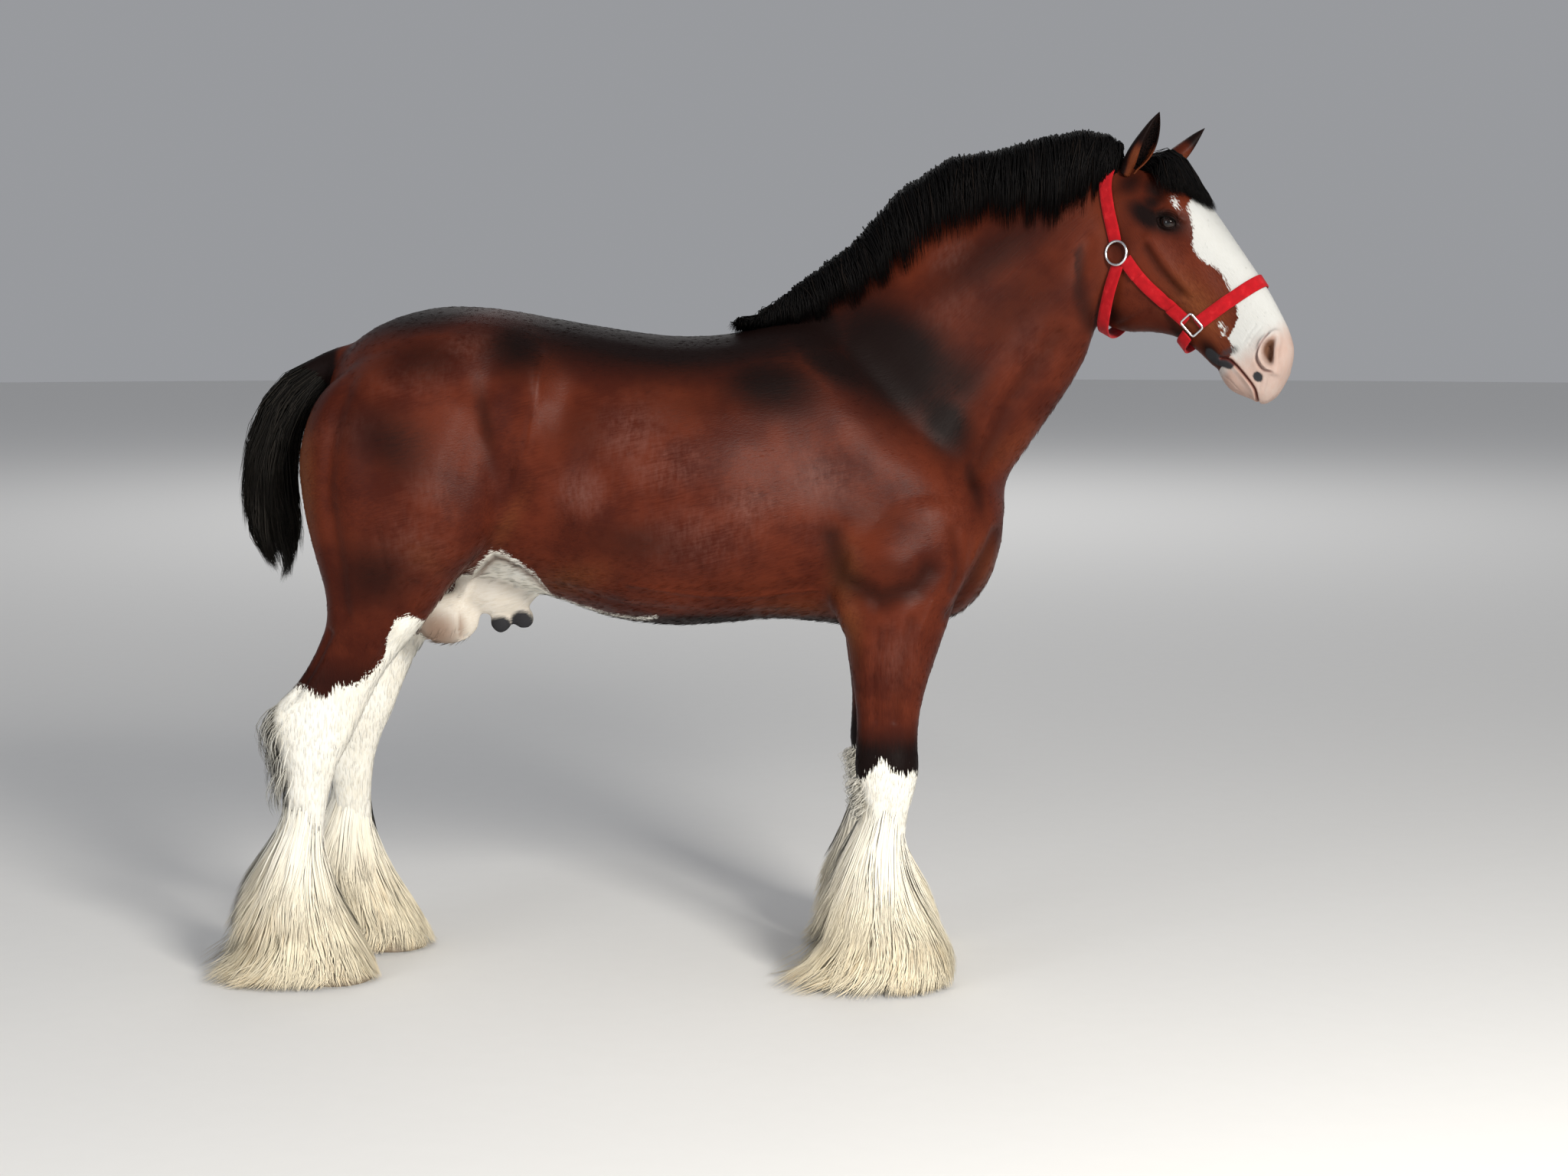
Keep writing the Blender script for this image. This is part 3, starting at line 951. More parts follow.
class Look:
    # a material: its fixed values are set on the shader, and what varies is fed to it
    def __init__(self, name, **fixed):
        self.material = bpy.data.materials.new(name)
        self.material.use_nodes = True
        self.tree = self.material.node_tree
        self.shader = self.tree.nodes["Principled BSDF"]
        for key, value in fixed.items():
            self.shader.inputs[key.replace("_", " ")].default_value = value

    def node(self, kind, settings=None, values=None, output=0):
        made = self.tree.nodes.new(kind)
        for key, value in (settings or {}).items():
            setattr(made, key, value)
        for key, value in (values or {}).items():
            if isinstance(value, Reading):
                self.tree.links.new(value.socket, made.inputs[key])
            else:
                made.inputs[key].default_value = value
        return Reading(self, made.outputs[output])

    def value(self, name):
        return self.node("ShaderNodeAttribute", {"attribute_name": name}, output=2)

    def place(self):
        return self.node("ShaderNodeTexCoord", output=3)

    def turned(self, turn, size):
        # object coordinates seen from a turned frame, over a size along each of its axes
        values = {"Vector": self.place(), "Rotation": turn, "Scale": size}
        return self.node("ShaderNodeMapping", {"vector_type": "TEXTURE"}, values)

    def noise(self, vector, scale, detail=2.0, rough=0.5):
        values = {"Vector": vector, "Scale": scale, "Detail": detail, "Roughness": rough}
        return self.node("ShaderNodeTexNoise", {}, values)

    def step(self, value, low, high):
        values = {"Value": value, "From Min": low, "From Max": high}
        return self.node("ShaderNodeMapRange", {"interpolation_type": "SMOOTHSTEP"}, values)

    def mix(self, factor, first, second):
        values = {0: factor, 6: first, 7: second}
        return self.node("ShaderNodeMix", {"data_type": "RGBA"}, values, output=2)

    def blend(self, factor, first, second):
        return first + (second - first) * factor

    def bump(self, height, strength, distance):
        return self.node("ShaderNodeBump", {}, {"Height": height, "Strength": strength, "Distance": distance})

    def feed(self, **sockets):
        for key, value in sockets.items():
            self.tree.links.new(value.socket, self.shader.inputs[key.replace("_", " ")])
        return self.material


def color(red, green, blue):
    return (red, green, blue, 1.0)


coatColors = {
    "bay": color(0.1, 0.019, 0.008),
    "bayDeep": color(0.05, 0.009, 0.0046),
    "dark": color(0.0066, 0.003, 0.0026),
    "bloom": color(0.14, 0.054, 0.041),
    "warm": color(0.175, 0.054, 0.018),
    "white": color(0.87, 0.86, 0.8),
    "whiteShade": color(0.78, 0.74, 0.64),
    "pink": color(0.405, 0.27, 0.222),
    "whiteFace": color(0.395, 0.402, 0.4),
    "grey": color(0.028, 0.028, 0.031),
    "bag": color(0.29, 0.2, 0.15),
    "hole": color(0.15, 0.072, 0.044),
    "lip": color(0.12, 0.026, 0.02),
}


def coatLook(name, tuft):
    # hair in streaks along its lie, in one of four directions; markings come from the mesh's own values
    look = Look(name, Specular_IOR_Level=0.06)
    yaw, pitch = math.radians(pose["headYaw"]), math.radians(pose["headPitch"])
    trunk, neck, leg = (math.radians(degrees) for degrees in (-14, -42, 90))
    lies = {"trunk": (0, trunk, 0), "neck": (0, neck, 0), "leg": (0, leg, 0), "head": (0, pitch, yaw)}
    onHead, onLeg, onNeck = look.value("onHead"), look.value("onLeg"), look.value("onNeck")
    streak = None
    for key, share in (("trunk", None), ("neck", onNeck), ("leg", onLeg), ("head", onHead)):
        long, thin = (0.022, 0.0028) if key == "head" else (0.05, 0.004)
        hair = look.noise(look.turned(lies[key], (long, thin, thin)), 1.0, 3.0, 0.62)
        streak = hair if share is None else look.blend(share, streak, hair)
    place = look.place()
    mottle = look.noise(place, 7.0, 3.0, 0.55)
    fine = look.noise(place, 420.0, 1.0)
    bay = look.mix(look.step(mottle + (streak - 0.5) * 0.35, 0.3, 0.7), coatColors["bayDeep"], coatColors["bay"])
    speckle = look.noise(look.turned((0, 0, 0), (0.012, 0.012, 0.034)), 1.0, 3.0, 0.6)
    bloom = look.value("bloom") * (0.55 + (mottle - 0.5) * 1.0 + (streak - 0.5) * 0.9 + (speckle - 0.5) * 1.4)
    bay = look.mix(look.step(bloom, 0.0, 1.0), bay, coatColors["bloom"])
    warm = look.value("warm") * (0.75 + (streak - 0.5) * 1.2)
    bay = look.mix(look.step(warm, 0.0, 1.1), bay, coatColors["warm"])
    dark = look.value("dark") + (mottle - 0.5) * 0.25 + (streak - 0.5) * 0.3
    bay = look.mix(look.step(dark, 0.05, 0.85), bay, coatColors["dark"])
    raggedness = 0.055 + onLeg * 0.03 - onHead * 0.02
    white = look.step(look.value("white") + (streak - 0.5) * raggedness + (fine - 0.5) * 0.004, -0.0028, 0.0028)
    tone = look.value("tone") if tuft else look.step(streak + (mottle - 0.5) * 0.8, 0.25, 0.75)
    pale = look.mix(tone, coatColors["whiteShade"], coatColors["white"])
    pale = look.mix(onHead * 0.85, pale, coatColors["whiteFace"])
    shade = look.mix(white, bay, pale)
    pink = look.step(look.value("pink") + (mottle - 0.5) * 0.4 + (speckle - 0.5) * 0.3, 0.1, 0.95)
    shade = look.mix(pink * white, shade, coatColors["pink"])
    shade = look.mix(look.step(look.value("bag"), 0.1, 0.6), shade, coatColors["bag"])
    shade = look.mix(look.step(look.value("grey") + (streak - 0.5) * 0.3, 0.25, 0.6), shade, coatColors["grey"])
    shade = look.mix(look.value("lip"), shade, coatColors["lip"])
    shade = look.mix(look.value("hole"), shade, coatColors["hole"])
    if tuft:
        shade = look.mix(look.step(tone, 0.0, 1.0) * 0.12, shade, coatColors["dark"])
    rough = 0.38 + white * 0.2 + (streak - 0.5) * 0.2 + look.step(look.value("dark"), 0.2, 1.0) * 0.12
    if tuft:
        return look.feed(Base_Color=shade, Roughness=rough)
    skinGrain = look.node("ShaderNodeTexVoronoi", {"feature": "DISTANCE_TO_EDGE"}, {"Vector": place, "Scale": 330.0})
    bare = look.step(look.value("pink"), 0.25, 0.8)
    relief = look.blend(bare, streak, look.step(skinGrain, 0.0, 0.4) * 0.35) + (fine - 0.5) * 0.15
    return look.feed(Base_Color=shade, Roughness=rough, Normal=look.bump(relief, 0.45, 0.0018))


def longHairLook(name, root, tip, streaky, rough):
    # each strand has its own tone, and lightens or darkens from root to tip
    look = Look(name, Specular_IOR_Level=0.07, Roughness=rough)
    tone, along = look.value("tone"), look.value("along")
    fine = look.noise(look.turned((0, math.radians(90), 0), (0.05, 0.003, 0.003)), 1.0, 2.0)
    shade = look.mix(look.step(along + (fine - 0.5) * 0.6 + (tone - 0.5) * 0.5, 0.15, 0.95), root, tip)
    shade = look.mix(look.step(tone + (fine - 0.5) * 0.5, 0.45, 1.0), shade, streaky)
    return look.feed(Base_Color=shade)


# hair built strand by strand

def strands(name, paths, across, width, thickness, finish, values, unwrap, slot, nodes=(), facing=None):
    # a three-sided blade along each path: thin at the root, broadest a third of the way, pointed at the tip;
    # facing turns the shading of every side that way, so that strands that lie together shade as one coat
    count, stations = paths.shape[:2]
    ahead = unit(np.gradient(paths, axis=1))
    flat = unit(across[:, None, :] - ahead * (ahead * across[:, None, :]).sum(-1, keepdims=True))
    up = np.cross(ahead, flat)
    share = np.linspace(0, 1, stations)
    taper = np.interp(share, (0, 0.3, 0.65, 1), (0.65, 1, 0.8, 0))[None, :, None]
    half, rise = flat * (width[:, None, None] * taper / 2), up * (thickness[:, None, None] * taper / 2)
    corners = np.stack((paths - half - rise, paths + half - rise, paths + rise), axis=2)[:, :-1]
    points = np.concatenate((corners.reshape(count, -1, 3), paths[:, -1:]), axis=1)
    each = points.shape[1]
    start = np.arange(count)[:, None, None] * each
    tip = np.array([(each - 4 + j, each - 4 + (j + 1) % 3, each - 1) for j in range(3)])
    quads = (start + gridFaces(stations - 1, 3)).reshape(-1, 4)
    triangles = (start + np.vstack(((0, 2, 1), tip))).reshape(-1, 3)
    along = np.append(np.repeat(share[:-1], 3), 1.0)
    spread = np.append(np.tile((-1.0, 1.0, 0.0), stations - 1), 0.0)
    patch = np.column_stack((spread * 0.0012, (along - 0.5) * 0.0028))
    perPoint = {key: np.repeat(numbers, each) for key, numbers in values.items()}
    perPoint["along"] = np.tile(along, count)
    places = (unwrap[:, None, :] + patch).reshape(-1, 2)
    piece = addMesh(name, points.reshape(-1, 3), [quads, triangles], finish, perPoint, places)
    if facing is not None:
        out = unit(facing[:, None, :] - ahead * (ahead * facing[:, None, :]).sum(-1, keepdims=True))
        lit = np.stack((out - flat * 0.35, out + flat * 0.35, out), axis=2)[:, :-1]
        lit = unit(np.concatenate((lit.reshape(count, -1, 3), out[:, -1:]), axis=1))
        piece.data.normals_split_custom_set_from_vertices(lit.reshape(-1, 3).tolist())
    print(name, count, "strands,", 2 * len(quads) + len(triangles), "triangles")
    return finishPiece(piece, slot, *nodes)


def bend(knots, stations):
    # points along each row of knots on a curve through them (Catmull-Rom), at even steps
    count, corners = knots.shape[:2]
    padded = np.concatenate((2 * knots[:, :1] - knots[:, 1:2], knots, 2 * knots[:, -1:] - knots[:, -2:-1]), axis=1)
    at = np.linspace(0, corners - 1, stations)
    cell = np.minimum(at.astype(int), corners - 2)
    t = (at - cell)[None, :, None]
    a, b, c, d = (padded[:, cell + i] for i in range(4))
    return 0.5 * (2 * b + (c - a) * t + (2 * a - 5 * b + 4 * c - d) * t**2 + (3 * b - a - 3 * c + d) * t**3)


def gather(paths, lock, most, power):
    # each strand draws towards the mean path of its lock, by most times the way down to a power
    count = lock.max() + 1
    size = np.maximum(np.bincount(lock, minlength=count), 1)[:, None]
    for i, share in enumerate(np.linspace(0, 1, paths.shape[1])):
        mean = np.stack([np.bincount(lock, paths[:, i, k], count) for k in range(3)], 1) / size
        paths[:, i] += (mean[lock] - paths[:, i]) * most * share**power
    return paths


def frizz(paths, size, turns):
    # a small wave of its own for each strand, growing from nothing at the root
    t = np.linspace(0, 1, paths.shape[1])[None, :, None]
    return paths + size * np.sin(dice.uniform(0, math.tau, (len(paths), 1, 3)) + turns * t) * t


# the long hair round the feet

feather = {
    "fore": {
        "leg": "foreLeg", "y": 0.24,
        # height, front x, back x, half width
        "bell": (
            (0.47, 0.335, 0.185, 0.052), (0.383, 0.352, 0.134, 0.068), (0.3, 0.378, 0.11, 0.095),
            (0.217, 0.415, 0.077, 0.125),
            (0.134, 0.45, 0.052, 0.15), (0.06, 0.464, 0.03, 0.166), (0.0, 0.452, 0.01, 0.172),
        ),
        # behind the knee: lowest and highest root, degrees each side of the back, length
        "fringe": (0.46, 0.56, 32, 0.028),
    },
    "hind": {
        "leg": "hindLeg", "y": 0.185,
        "bell": (
            (0.44, -1.222, -1.35, 0.052), (0.37, -1.212, -1.405, 0.07), (0.308, -1.198, -1.44, 0.092),
            (0.217, -1.172, -1.48, 0.122),
            (0.134, -1.135, -1.508, 0.142), (0.06, -1.098, -1.52, 0.148), (0.0, -1.082, -1.524, 0.15),
        ),
        "fringe": (0.54, 0.745, 42, 0.1),
    },
    "locks": 230,
    "strands": 5500,
    "width": 0.0048,
    "flick": 0.42,
    "fringeStrands": 480,
    "stations": 6,
    # how far round from the back the roots reach, in degrees, by height
    "reach": ((0.05, 180), (0.3, 180), (0.37, 150), (0.43, 110), (0.47, 70)),
}


def ovalPlace(limb, side, outline, height, angle):
    # x and y on ovals with this front, back and half width, so far round from the front
    front, back, half = outline
    ahead = reachAt(height, side) if limb == "hind" else 0
    x = (front + back) / 2 + (front - back) / 2 * np.cos(angle)
    return joined(x + ahead, side * (feather[limb]["y"] + half * np.sin(angle)))


def roundUnwrap(angle, along):
    return np.column_stack((np.mod(angle / math.tau, 1) * 0.96 + 0.02, along))


def limbAt(rows, height):
    rows = np.array(rows[::-1])
    front = np.interp(height, rows[:, 1], rows[:, 0])
    back = np.interp(height, rows[:, 3], rows[:, 2])
    return front, back, np.interp(height, rows[:, 1], rows[:, 5])


def makeFeather(limb, side, finish):
    # strands root on the leg, run out as a power of the way down and end on or inside the bell
    sizes = feather[limb]
    rows = body[sizes["leg"]]
    slim = limb == "fore" and side > 0
    locks, count = feather["locks"], feather["strands"]
    lockRoot = 0.075 + 0.39 * dice.random(locks) ** 0.9
    arc = np.radians(np.interp(lockRoot, *np.array(feather["reach"]).T))
    lockAngle = math.pi + arc * np.linspace(-1, 1, locks)[dice.permutation(locks)]
    lockTip = np.maximum(lockRoot - dice.uniform(0.18, 0.28, locks), 0.002 + 0.022 * dice.random(locks) ** 2.5)
    lockSpread = 1 - 0.3 * dice.random(locks) ** 1.8
    rearward = 0.35 + 0.65 * (1 - np.cos(lockAngle)) / 2
    lockFlick = np.where(lockTip < 0.05, feather["flick"] * rearward * dice.random(locks) ** 1.8, 0)
    lockFlick = lockFlick * (0.2 if slim else 1)
    lockWave = dice.uniform(0, math.tau, locks)
    lock = dice.integers(0, locks, count)
    off = dice.normal(0, 1, (count, 2))
    root = np.clip(lockRoot[lock] + 0.02 * off[:, 0], 0.055, 0.5)
    tip = np.minimum(np.maximum(lockTip[lock] + 0.018 * dice.normal(0, 1, count), 0.0022), root - 0.03)
    spread = np.clip(lockSpread[lock] + dice.normal(0, 0.045, count), 0.3, 1.02) * (0.84 if slim else 1.0)
    t = np.linspace(0, 1, feather["stations"])[None, :]
    wave = 0.055 * np.sin(lockWave[lock][:, None] + 5.5 * t) * t**2
    wave = wave + 0.02 * np.sin(dice.uniform(0, math.tau, (count, 1)) + 5 * t) * t
    angle = lockAngle[lock][:, None] + 0.15 * off[:, 1:] * (1 - 0.4 * t) + wave
    height = root[:, None] + (tip - root)[:, None] * t**1.08
    onLimb = ovalPlace(limb, side, limbAt(rows, height), height, angle)
    onBell = ovalPlace(limb, side, readRows(sizes["bell"][::-1], height)[1:], height, angle)
    out = spread[:, None] * t**0.62 + lockFlick[lock][:, None] * t**4 - 0.05 * (1 - t) ** 4
    paths = np.concatenate((onLimb + (onBell - onLimb) * np.minimum(out, 1.3)[..., None], height[..., None]), -1)
    paths = gather(paths, lock, 0.22, 2.2)
    paths[..., 2] = np.maximum(paths[..., 2], 0.0022)
    across = joined(-np.sin(lockAngle[lock]), side * np.cos(lockAngle[lock]), dice.uniform(-0.3, 0.3, count))
    unwrap = roundUnwrap(angle[:, 0], root * 1.6 + 0.02)
    tone = np.clip(dice.normal(0.4, 0.2, count) + 0.15 * np.sin(lockWave * 3)[lock], 0, 1)
    low = 1 - ramp(root, 0.1, 0.42)
    # the fringe behind the joint above
    lowest, highest, degrees, length = sizes["fringe"]
    more = feather["fringeStrands"]
    fringeRoot = dice.uniform(lowest, highest, more)
    fringeAngle = math.pi + np.radians(degrees) * dice.normal(0, 0.5, more)
    fringeLength = length * dice.uniform(0.5, 1.25, more)
    height = fringeRoot[:, None] - fringeLength[:, None] * (t**1.1)
    onLimb = ovalPlace(limb, side, limbAt(rows, height), height, fringeAngle[:, None])
    outward = joined(np.cos(fringeAngle), side * np.sin(fringeAngle))[:, None, :]
    lift = -0.006 + (0.02 + 0.03 * dice.random(more) ** 2)[:, None] * np.sin(t * 2.2)
    lift = lift * (fringeLength / length)[:, None]
    curl = 0.01 * np.sin(dice.uniform(0, math.tau, (more, 1)) + 4 * t) * t
    sideways = joined(-outward[..., 1], outward[..., 0])
    fringe = np.concatenate((onLimb + outward * lift[..., None] + sideways * curl[..., None], height[..., None]), -1)
    fringeLock = ((fringeRoot - lowest) * 160 + (fringeAngle - 2) * 3).astype(int) % 40
    paths = np.concatenate((paths, gather(fringe, fringeLock, 0.35, 2.0)))
    across = np.concatenate((across, joined(-np.sin(fringeAngle), side * np.cos(fringeAngle), 0)))
    unwrap = np.concatenate((unwrap, roundUnwrap(fringeAngle, fringeRoot * 1.3 + 0.02)))
    width = np.concatenate((feather["width"] * dice.uniform(0.5, 1.25, count), 0.0036 * dice.uniform(0.6, 1.2, more)))
    facing = np.column_stack((side * across[:, 1], -side * across[:, 0], np.full(len(across), 0.3)))
    values = {"tone": np.append(tone, dice.uniform(0.1, 0.6, more)), "low": np.append(low, np.zeros(more))}
    hand = "right" if side < 0 else "left"
    name, nodes, unwrap = f"feather_{limb}_{hand}", [f"{limb}_cannon_{hand}"], np.clip(unwrap, 0.01, 0.99)
    return strands(name, paths, across, width, width * 0.26, finish, values, unwrap, "feather", nodes, unit(facing))


def featherLook():
    look = Look("feather hair", Specular_IOR_Level=0.35, Roughness=0.52)
    tone, along, low = look.value("tone"), look.value("along"), look.value("low")
    place = look.place()
    broad = look.noise(place, 9.0, 2.0)
    down = look.node("ShaderNodeSeparateXYZ", {}, {0: place}, output=2)
    floorward = 1 - look.step(down + (broad - 0.5) * 0.16 + (tone - 0.5) * 0.1, 0.06, 0.42)
    shade = look.mix(look.step(tone, 0.1, 0.9), color(0.93, 0.9, 0.8), color(0.85, 0.79, 0.65))
    shade = look.mix(floorward * 0.75, shade, color(0.9, 0.78, 0.54))
    tan = look.step(broad + (tone - 0.5) * 0.4, 0.5, 0.78) * floorward
    shade = look.mix(tan * 0.55, shade, color(0.8, 0.58, 0.32))
    shade = look.mix(look.step(along, 0.85, 1.0) * low * 0.15, shade, color(0.62, 0.46, 0.27))
    return look.feed(Base_Color=shade)


mane = {
    # root x and z, top z, then the tip x, y and z on the right side
    "rows": (
        (-0.11, 1.735, 1.742, -0.15, -0.02, 1.73), (-0.06, 1.745, 1.768, -0.085, -0.045, 1.722),
        (0.0, 1.775, 1.822, 0.01, -0.07, 1.728), (0.07, 1.82, 1.878, 0.105, -0.085, 1.76),
        (0.19, 1.905, 1.965, 0.24, -0.1, 1.825), (0.31, 2.015, 2.105, 0.345, -0.12, 1.9),
        (0.44, 2.11, 2.187, 0.452, -0.132, 1.975), (0.56, 2.148, 2.203, 0.56, -0.142, 2.0),
        (0.68, 2.175, 2.236, 0.675, -0.15, 1.99), (0.79, 2.19, 2.256, 0.765, -0.152, 2.025),
        (0.85, 2.19, 2.244, 0.83, -0.15, 2.075), (0.885, 2.186, 2.222, 0.865, -0.146, 2.105),
    ),
    # side, locks, strands, share of the length
    "sides": ((-1, 190, 4900, 1.0), (1, 70, 1600, 0.72)),
    "width": 0.0043,
    "stations": 6,
}


def makeMane(finish):
    # up out of the crest, over and down one side; depth says how far out in the mane a strand lies
    places = np.arange(len(mane["rows"]))
    neck = np.array(body["neck"])
    knots, owner, ends = [], [], 0
    for side, locks, count, reach in mane["sides"]:
        lockAt = dice.permutation(np.linspace(0, places[-1], locks))
        lockFall = 1.03 - 0.38 * dice.random(locks) ** 1.5
        lockSway = dice.normal(0, 0.012, locks)
        lock = dice.integers(0, locks, count)
        at = np.clip(lockAt[lock] + dice.normal(0, 0.13, count), 0, places[-1])
        x, z, top, tipX, tipY, tipZ = readRows(mane["rows"], at, places)
        y = np.interp(x, neck[:, 0], neck[:, 4])
        depth = 1 - 0.4 * dice.random(count) ** 2.0
        fall = np.clip(lockFall[lock] + dice.normal(0, 0.07, count), 0.35, 1.08) * reach
        root = np.stack((x, y + dice.uniform(-0.024, 0.024, count), z - 0.022), 1)
        crownZ = z + (top - z) * depth + dice.normal(0, 0.0025, count)
        crownX = x + dice.normal(0, 0.006, count)
        crown = joined(crownX, y + side * (0.018 + 0.03 * dice.random(count)), crownZ)
        rise = np.stack((x, y - side * 0.004, z + (crownZ - z) * 0.7), 1)
        lowY = y + side * (y - tipY) * (0.2 + 0.8 * fall) * (0.82 + 0.18 * depth)
        low = np.stack((x + (tipX - x) * fall + lockSway[lock], lowY, top + (tipZ - top) * fall), 1)
        bulge = reach * depth * np.minimum(fall, 1)
        middle = (crown + low) / 2 + np.stack((lockSway[lock] * 0.5, side * 0.028 * bulge, 0.03 * bulge), 1)
        knots.append(np.stack((root, rise, crown, middle, low), 1))
        owner.append(lock + ends)
        ends += locks
    knots, owner = np.concatenate(knots), np.concatenate(owner)
    paths = frizz(gather(bend(knots, mane["stations"]), owner, 0.45, 2.0), 0.0055, 7)
    count = len(paths)
    across = unit(np.column_stack((np.ones(count), dice.uniform(-0.3, 0.3, count), dice.uniform(0.2, 0.9, count))))
    unwrap = np.column_stack(((knots[:, 0, 0] + 0.12) * 0.92 + 0.02, 0.5 + (knots[:, 2, 1] - knots[:, 0, 1]) * 5))
    width = mane["width"] * dice.uniform(0.5, 1.3, count)
    tone = np.clip(dice.normal(0.35, 0.22, count), 0, 1)
    unwrap = np.clip(unwrap, 0.01, 0.99)
    return strands("mane", paths, across, width, width * 0.4, finish, {"tone": tone}, unwrap, "mane")


forelock = {
    # x and z in the head's frame, and x at the longest tip
    "root": (0.04, -0.005),
    "top": (0.085, 0.122),
    "tip": 0.27,
    "locks": 50,
    "strands": 2100,
    "width": 0.0037,
    "stations": 7,
}


def makeForelock(finish):
    # out of the poll, up between the ears and down the forehead, widest at its ends
    locks, count = forelock["locks"], forelock["strands"]
    lock = dice.integers(0, locks, count)
    lockShare, lockFall = np.linspace(-1, 1, locks), 1.03 - 0.32 * dice.random(locks) ** 1.6
    share = np.clip(lockShare[lock] + dice.normal(0, 0.1, count), -1.08, 1.08)
    fall = np.clip(lockFall[lock] + dice.normal(0, 0.07, count), 0.3, 1.08)
    depth = 1 - 0.5 * dice.random(count) ** 2.2
    rootX, rootZ = forelock["root"]
    topX, topZ = forelock["top"]
    y = share * 0.04
    root = np.stack((rootX + dice.uniform(-0.03, 0.03, count), y * 0.8, rootZ + dice.uniform(-0.02, 0.01, count)), 1)
    crown = np.stack((topX + dice.normal(0, 0.007, count), y * 1.25, (topZ - np.abs(share) * 0.03) * depth), 1)
    lowY = np.clip(y * 2.25 - 0.008, -0.106, 0.106)
    lowZ = -0.01 + 0.1095 * (1 - (np.abs(lowY) / 0.11) ** 2.4) ** (1 / 2.4) + 0.007 + 0.01 * depth
    lowX = rootX + (forelock["tip"] - rootX) * fall * (1 - 0.36 * share**2)
    low = np.stack((lowX, lowY, lowZ + dice.normal(0, 0.002, count)), 1)
    middle = (crown + low) / 2 + joined(0, 0, 0.012 * depth)
    knots = np.stack((root, crown, middle, low), 1)
    paths = bend(fromHead(knots.reshape(-1, 3)).reshape(knots.shape), forelock["stations"])
    paths = frizz(gather(paths, lock, 0.4, 2.0), 0.0045, 6)
    across = np.stack((dice.uniform(-0.3, 0.3, count), np.ones(count), np.zeros(count)), 1) @ headTurn.T
    unwrap = np.clip(np.column_stack((share * 0.42 + 0.5, (root[:, 0] - rootX) * 8 + 0.5)), 0.01, 0.99)
    width = forelock["width"] * dice.uniform(0.5, 1.3, count)
    tone = np.clip(dice.normal(0.35, 0.22, count), 0, 1)
    return strands("forelock", paths, across, width, width * 0.4, finish, {"tone": tone}, unwrap, "mane")


tail = {
    # back x and z, front x and z, half width
    "rows": (
        (-1.195, 1.69, -1.165, 1.61, 0.034), (-1.275, 1.672, -1.205, 1.575, 0.052),
        (-1.345, 1.632, -1.245, 1.535, 0.068), (-1.396, 1.572, -1.275, 1.495, 0.08),
        (-1.434, 1.485, -1.3, 1.44, 0.09), (-1.458, 1.372, -1.315, 1.355, 0.096),
        (-1.464, 1.26, -1.314, 1.25, 0.092), (-1.446, 1.18, -1.31, 1.17, 0.078),
        (-1.4, 1.105, -1.328, 1.098, 0.044), (-1.368, 1.066, -1.345, 1.064, 0.02),
    ),
    "locks": 80,
    "strands": 5600,
    "width": 0.005,
    "stations": 6,
}


def makeTail(finish):
    # strands leave the dock at all heights and hang inside the tail's own outline
    locks, count = tail["locks"], tail["strands"]
    places = np.linspace(0, 1, len(tail["rows"]))
    lockRoot = 0.4 * dice.random(locks) ** 1.6
    lockTip = np.clip(lockRoot + dice.uniform(0.46, 0.66, locks), 0, 1) - 0.04 * dice.random(locks)
    lockAngle = dice.permutation(locks) / locks * math.tau
    lockSpread = 1.06 - 0.35 * dice.random(locks) ** 1.5
    lockShift = dice.normal(0, 0.012, (locks, 3))
    lock = dice.integers(0, locks, count)
    root = np.clip(lockRoot[lock] + dice.normal(0, 0.03, count), 0.0, 0.5)
    tip = np.clip(lockTip[lock] + dice.normal(0, 0.03, count), 0.3, 1.0)
    angle = lockAngle[lock] + dice.normal(0, 0.28, count)
    spread = lockSpread[lock] * (1 - 0.3 * dice.random(count) ** 1.5)
    t = np.linspace(0, 1, tail["stations"])[None, :]
    at = root[:, None] + (tip - root)[:, None] * t
    backX, backZ, frontX, frontZ, half = readRows(tail["rows"], at, places)
    reach = spread[:, None] * (0.35 + 0.65 * t**0.45)
    along = np.cos(angle)[:, None] * reach
    middle = joined((backX + frontX) / 2, np.zeros_like(at), (backZ + frontZ) / 2)
    outY = half * np.sin(angle)[:, None] * reach
    out = joined((backX - frontX) / 2 * along, outY, (backZ - frontZ) / 2 * along)
    paths = middle + out + lockShift[lock][:, None, :] * (t**2)[..., None]
    paths = frizz(gather(paths, lock, 0.35, 2.2), 0.0075, 6)
    across = joined(np.sin(angle), -np.cos(angle), dice.uniform(-0.2, 0.2, count))
    unwrap = roundUnwrap(angle, root * 1.8 + 0.03)
    width = tail["width"] * dice.uniform(0.5, 1.3, count)
    tone = np.clip(dice.normal(0.45, 0.24, count), 0, 1)
    return strands("tail_hair", paths, across, width, width * 0.4, finish, {"tone": tone}, unwrap, "mane", ["tail"])


# the short coat, where it breaks the outline

coat = {"body": 11500, "limbs": 11800, "width": 0.0026, "stations": 4}


def lieOf(points, values):
    # which way the hair runs: back along the trunk, down and back on the neck, down the legs and the face
    head = toHead(points)
    cheek = 1 - ramp(head[:, 0], 0.25, 0.45)
    onFace = np.stack((1 - 0.7 * cheek, np.zeros(len(points)), -0.15 - 0.75 * cheek), 1) @ headTurn.T
    lie = np.tile((-0.95, 0.0, -0.3), (len(points), 1))
    for key, way in (("onNeck", (-0.72, 0.0, -0.69)), ("onLeg", (-0.05, 0.0, -1.0))):
        lie = lie + (np.array(way) - lie) * values[key][:, None]
    return unit(lie + (onFace - lie) * values["onHead"][:, None])


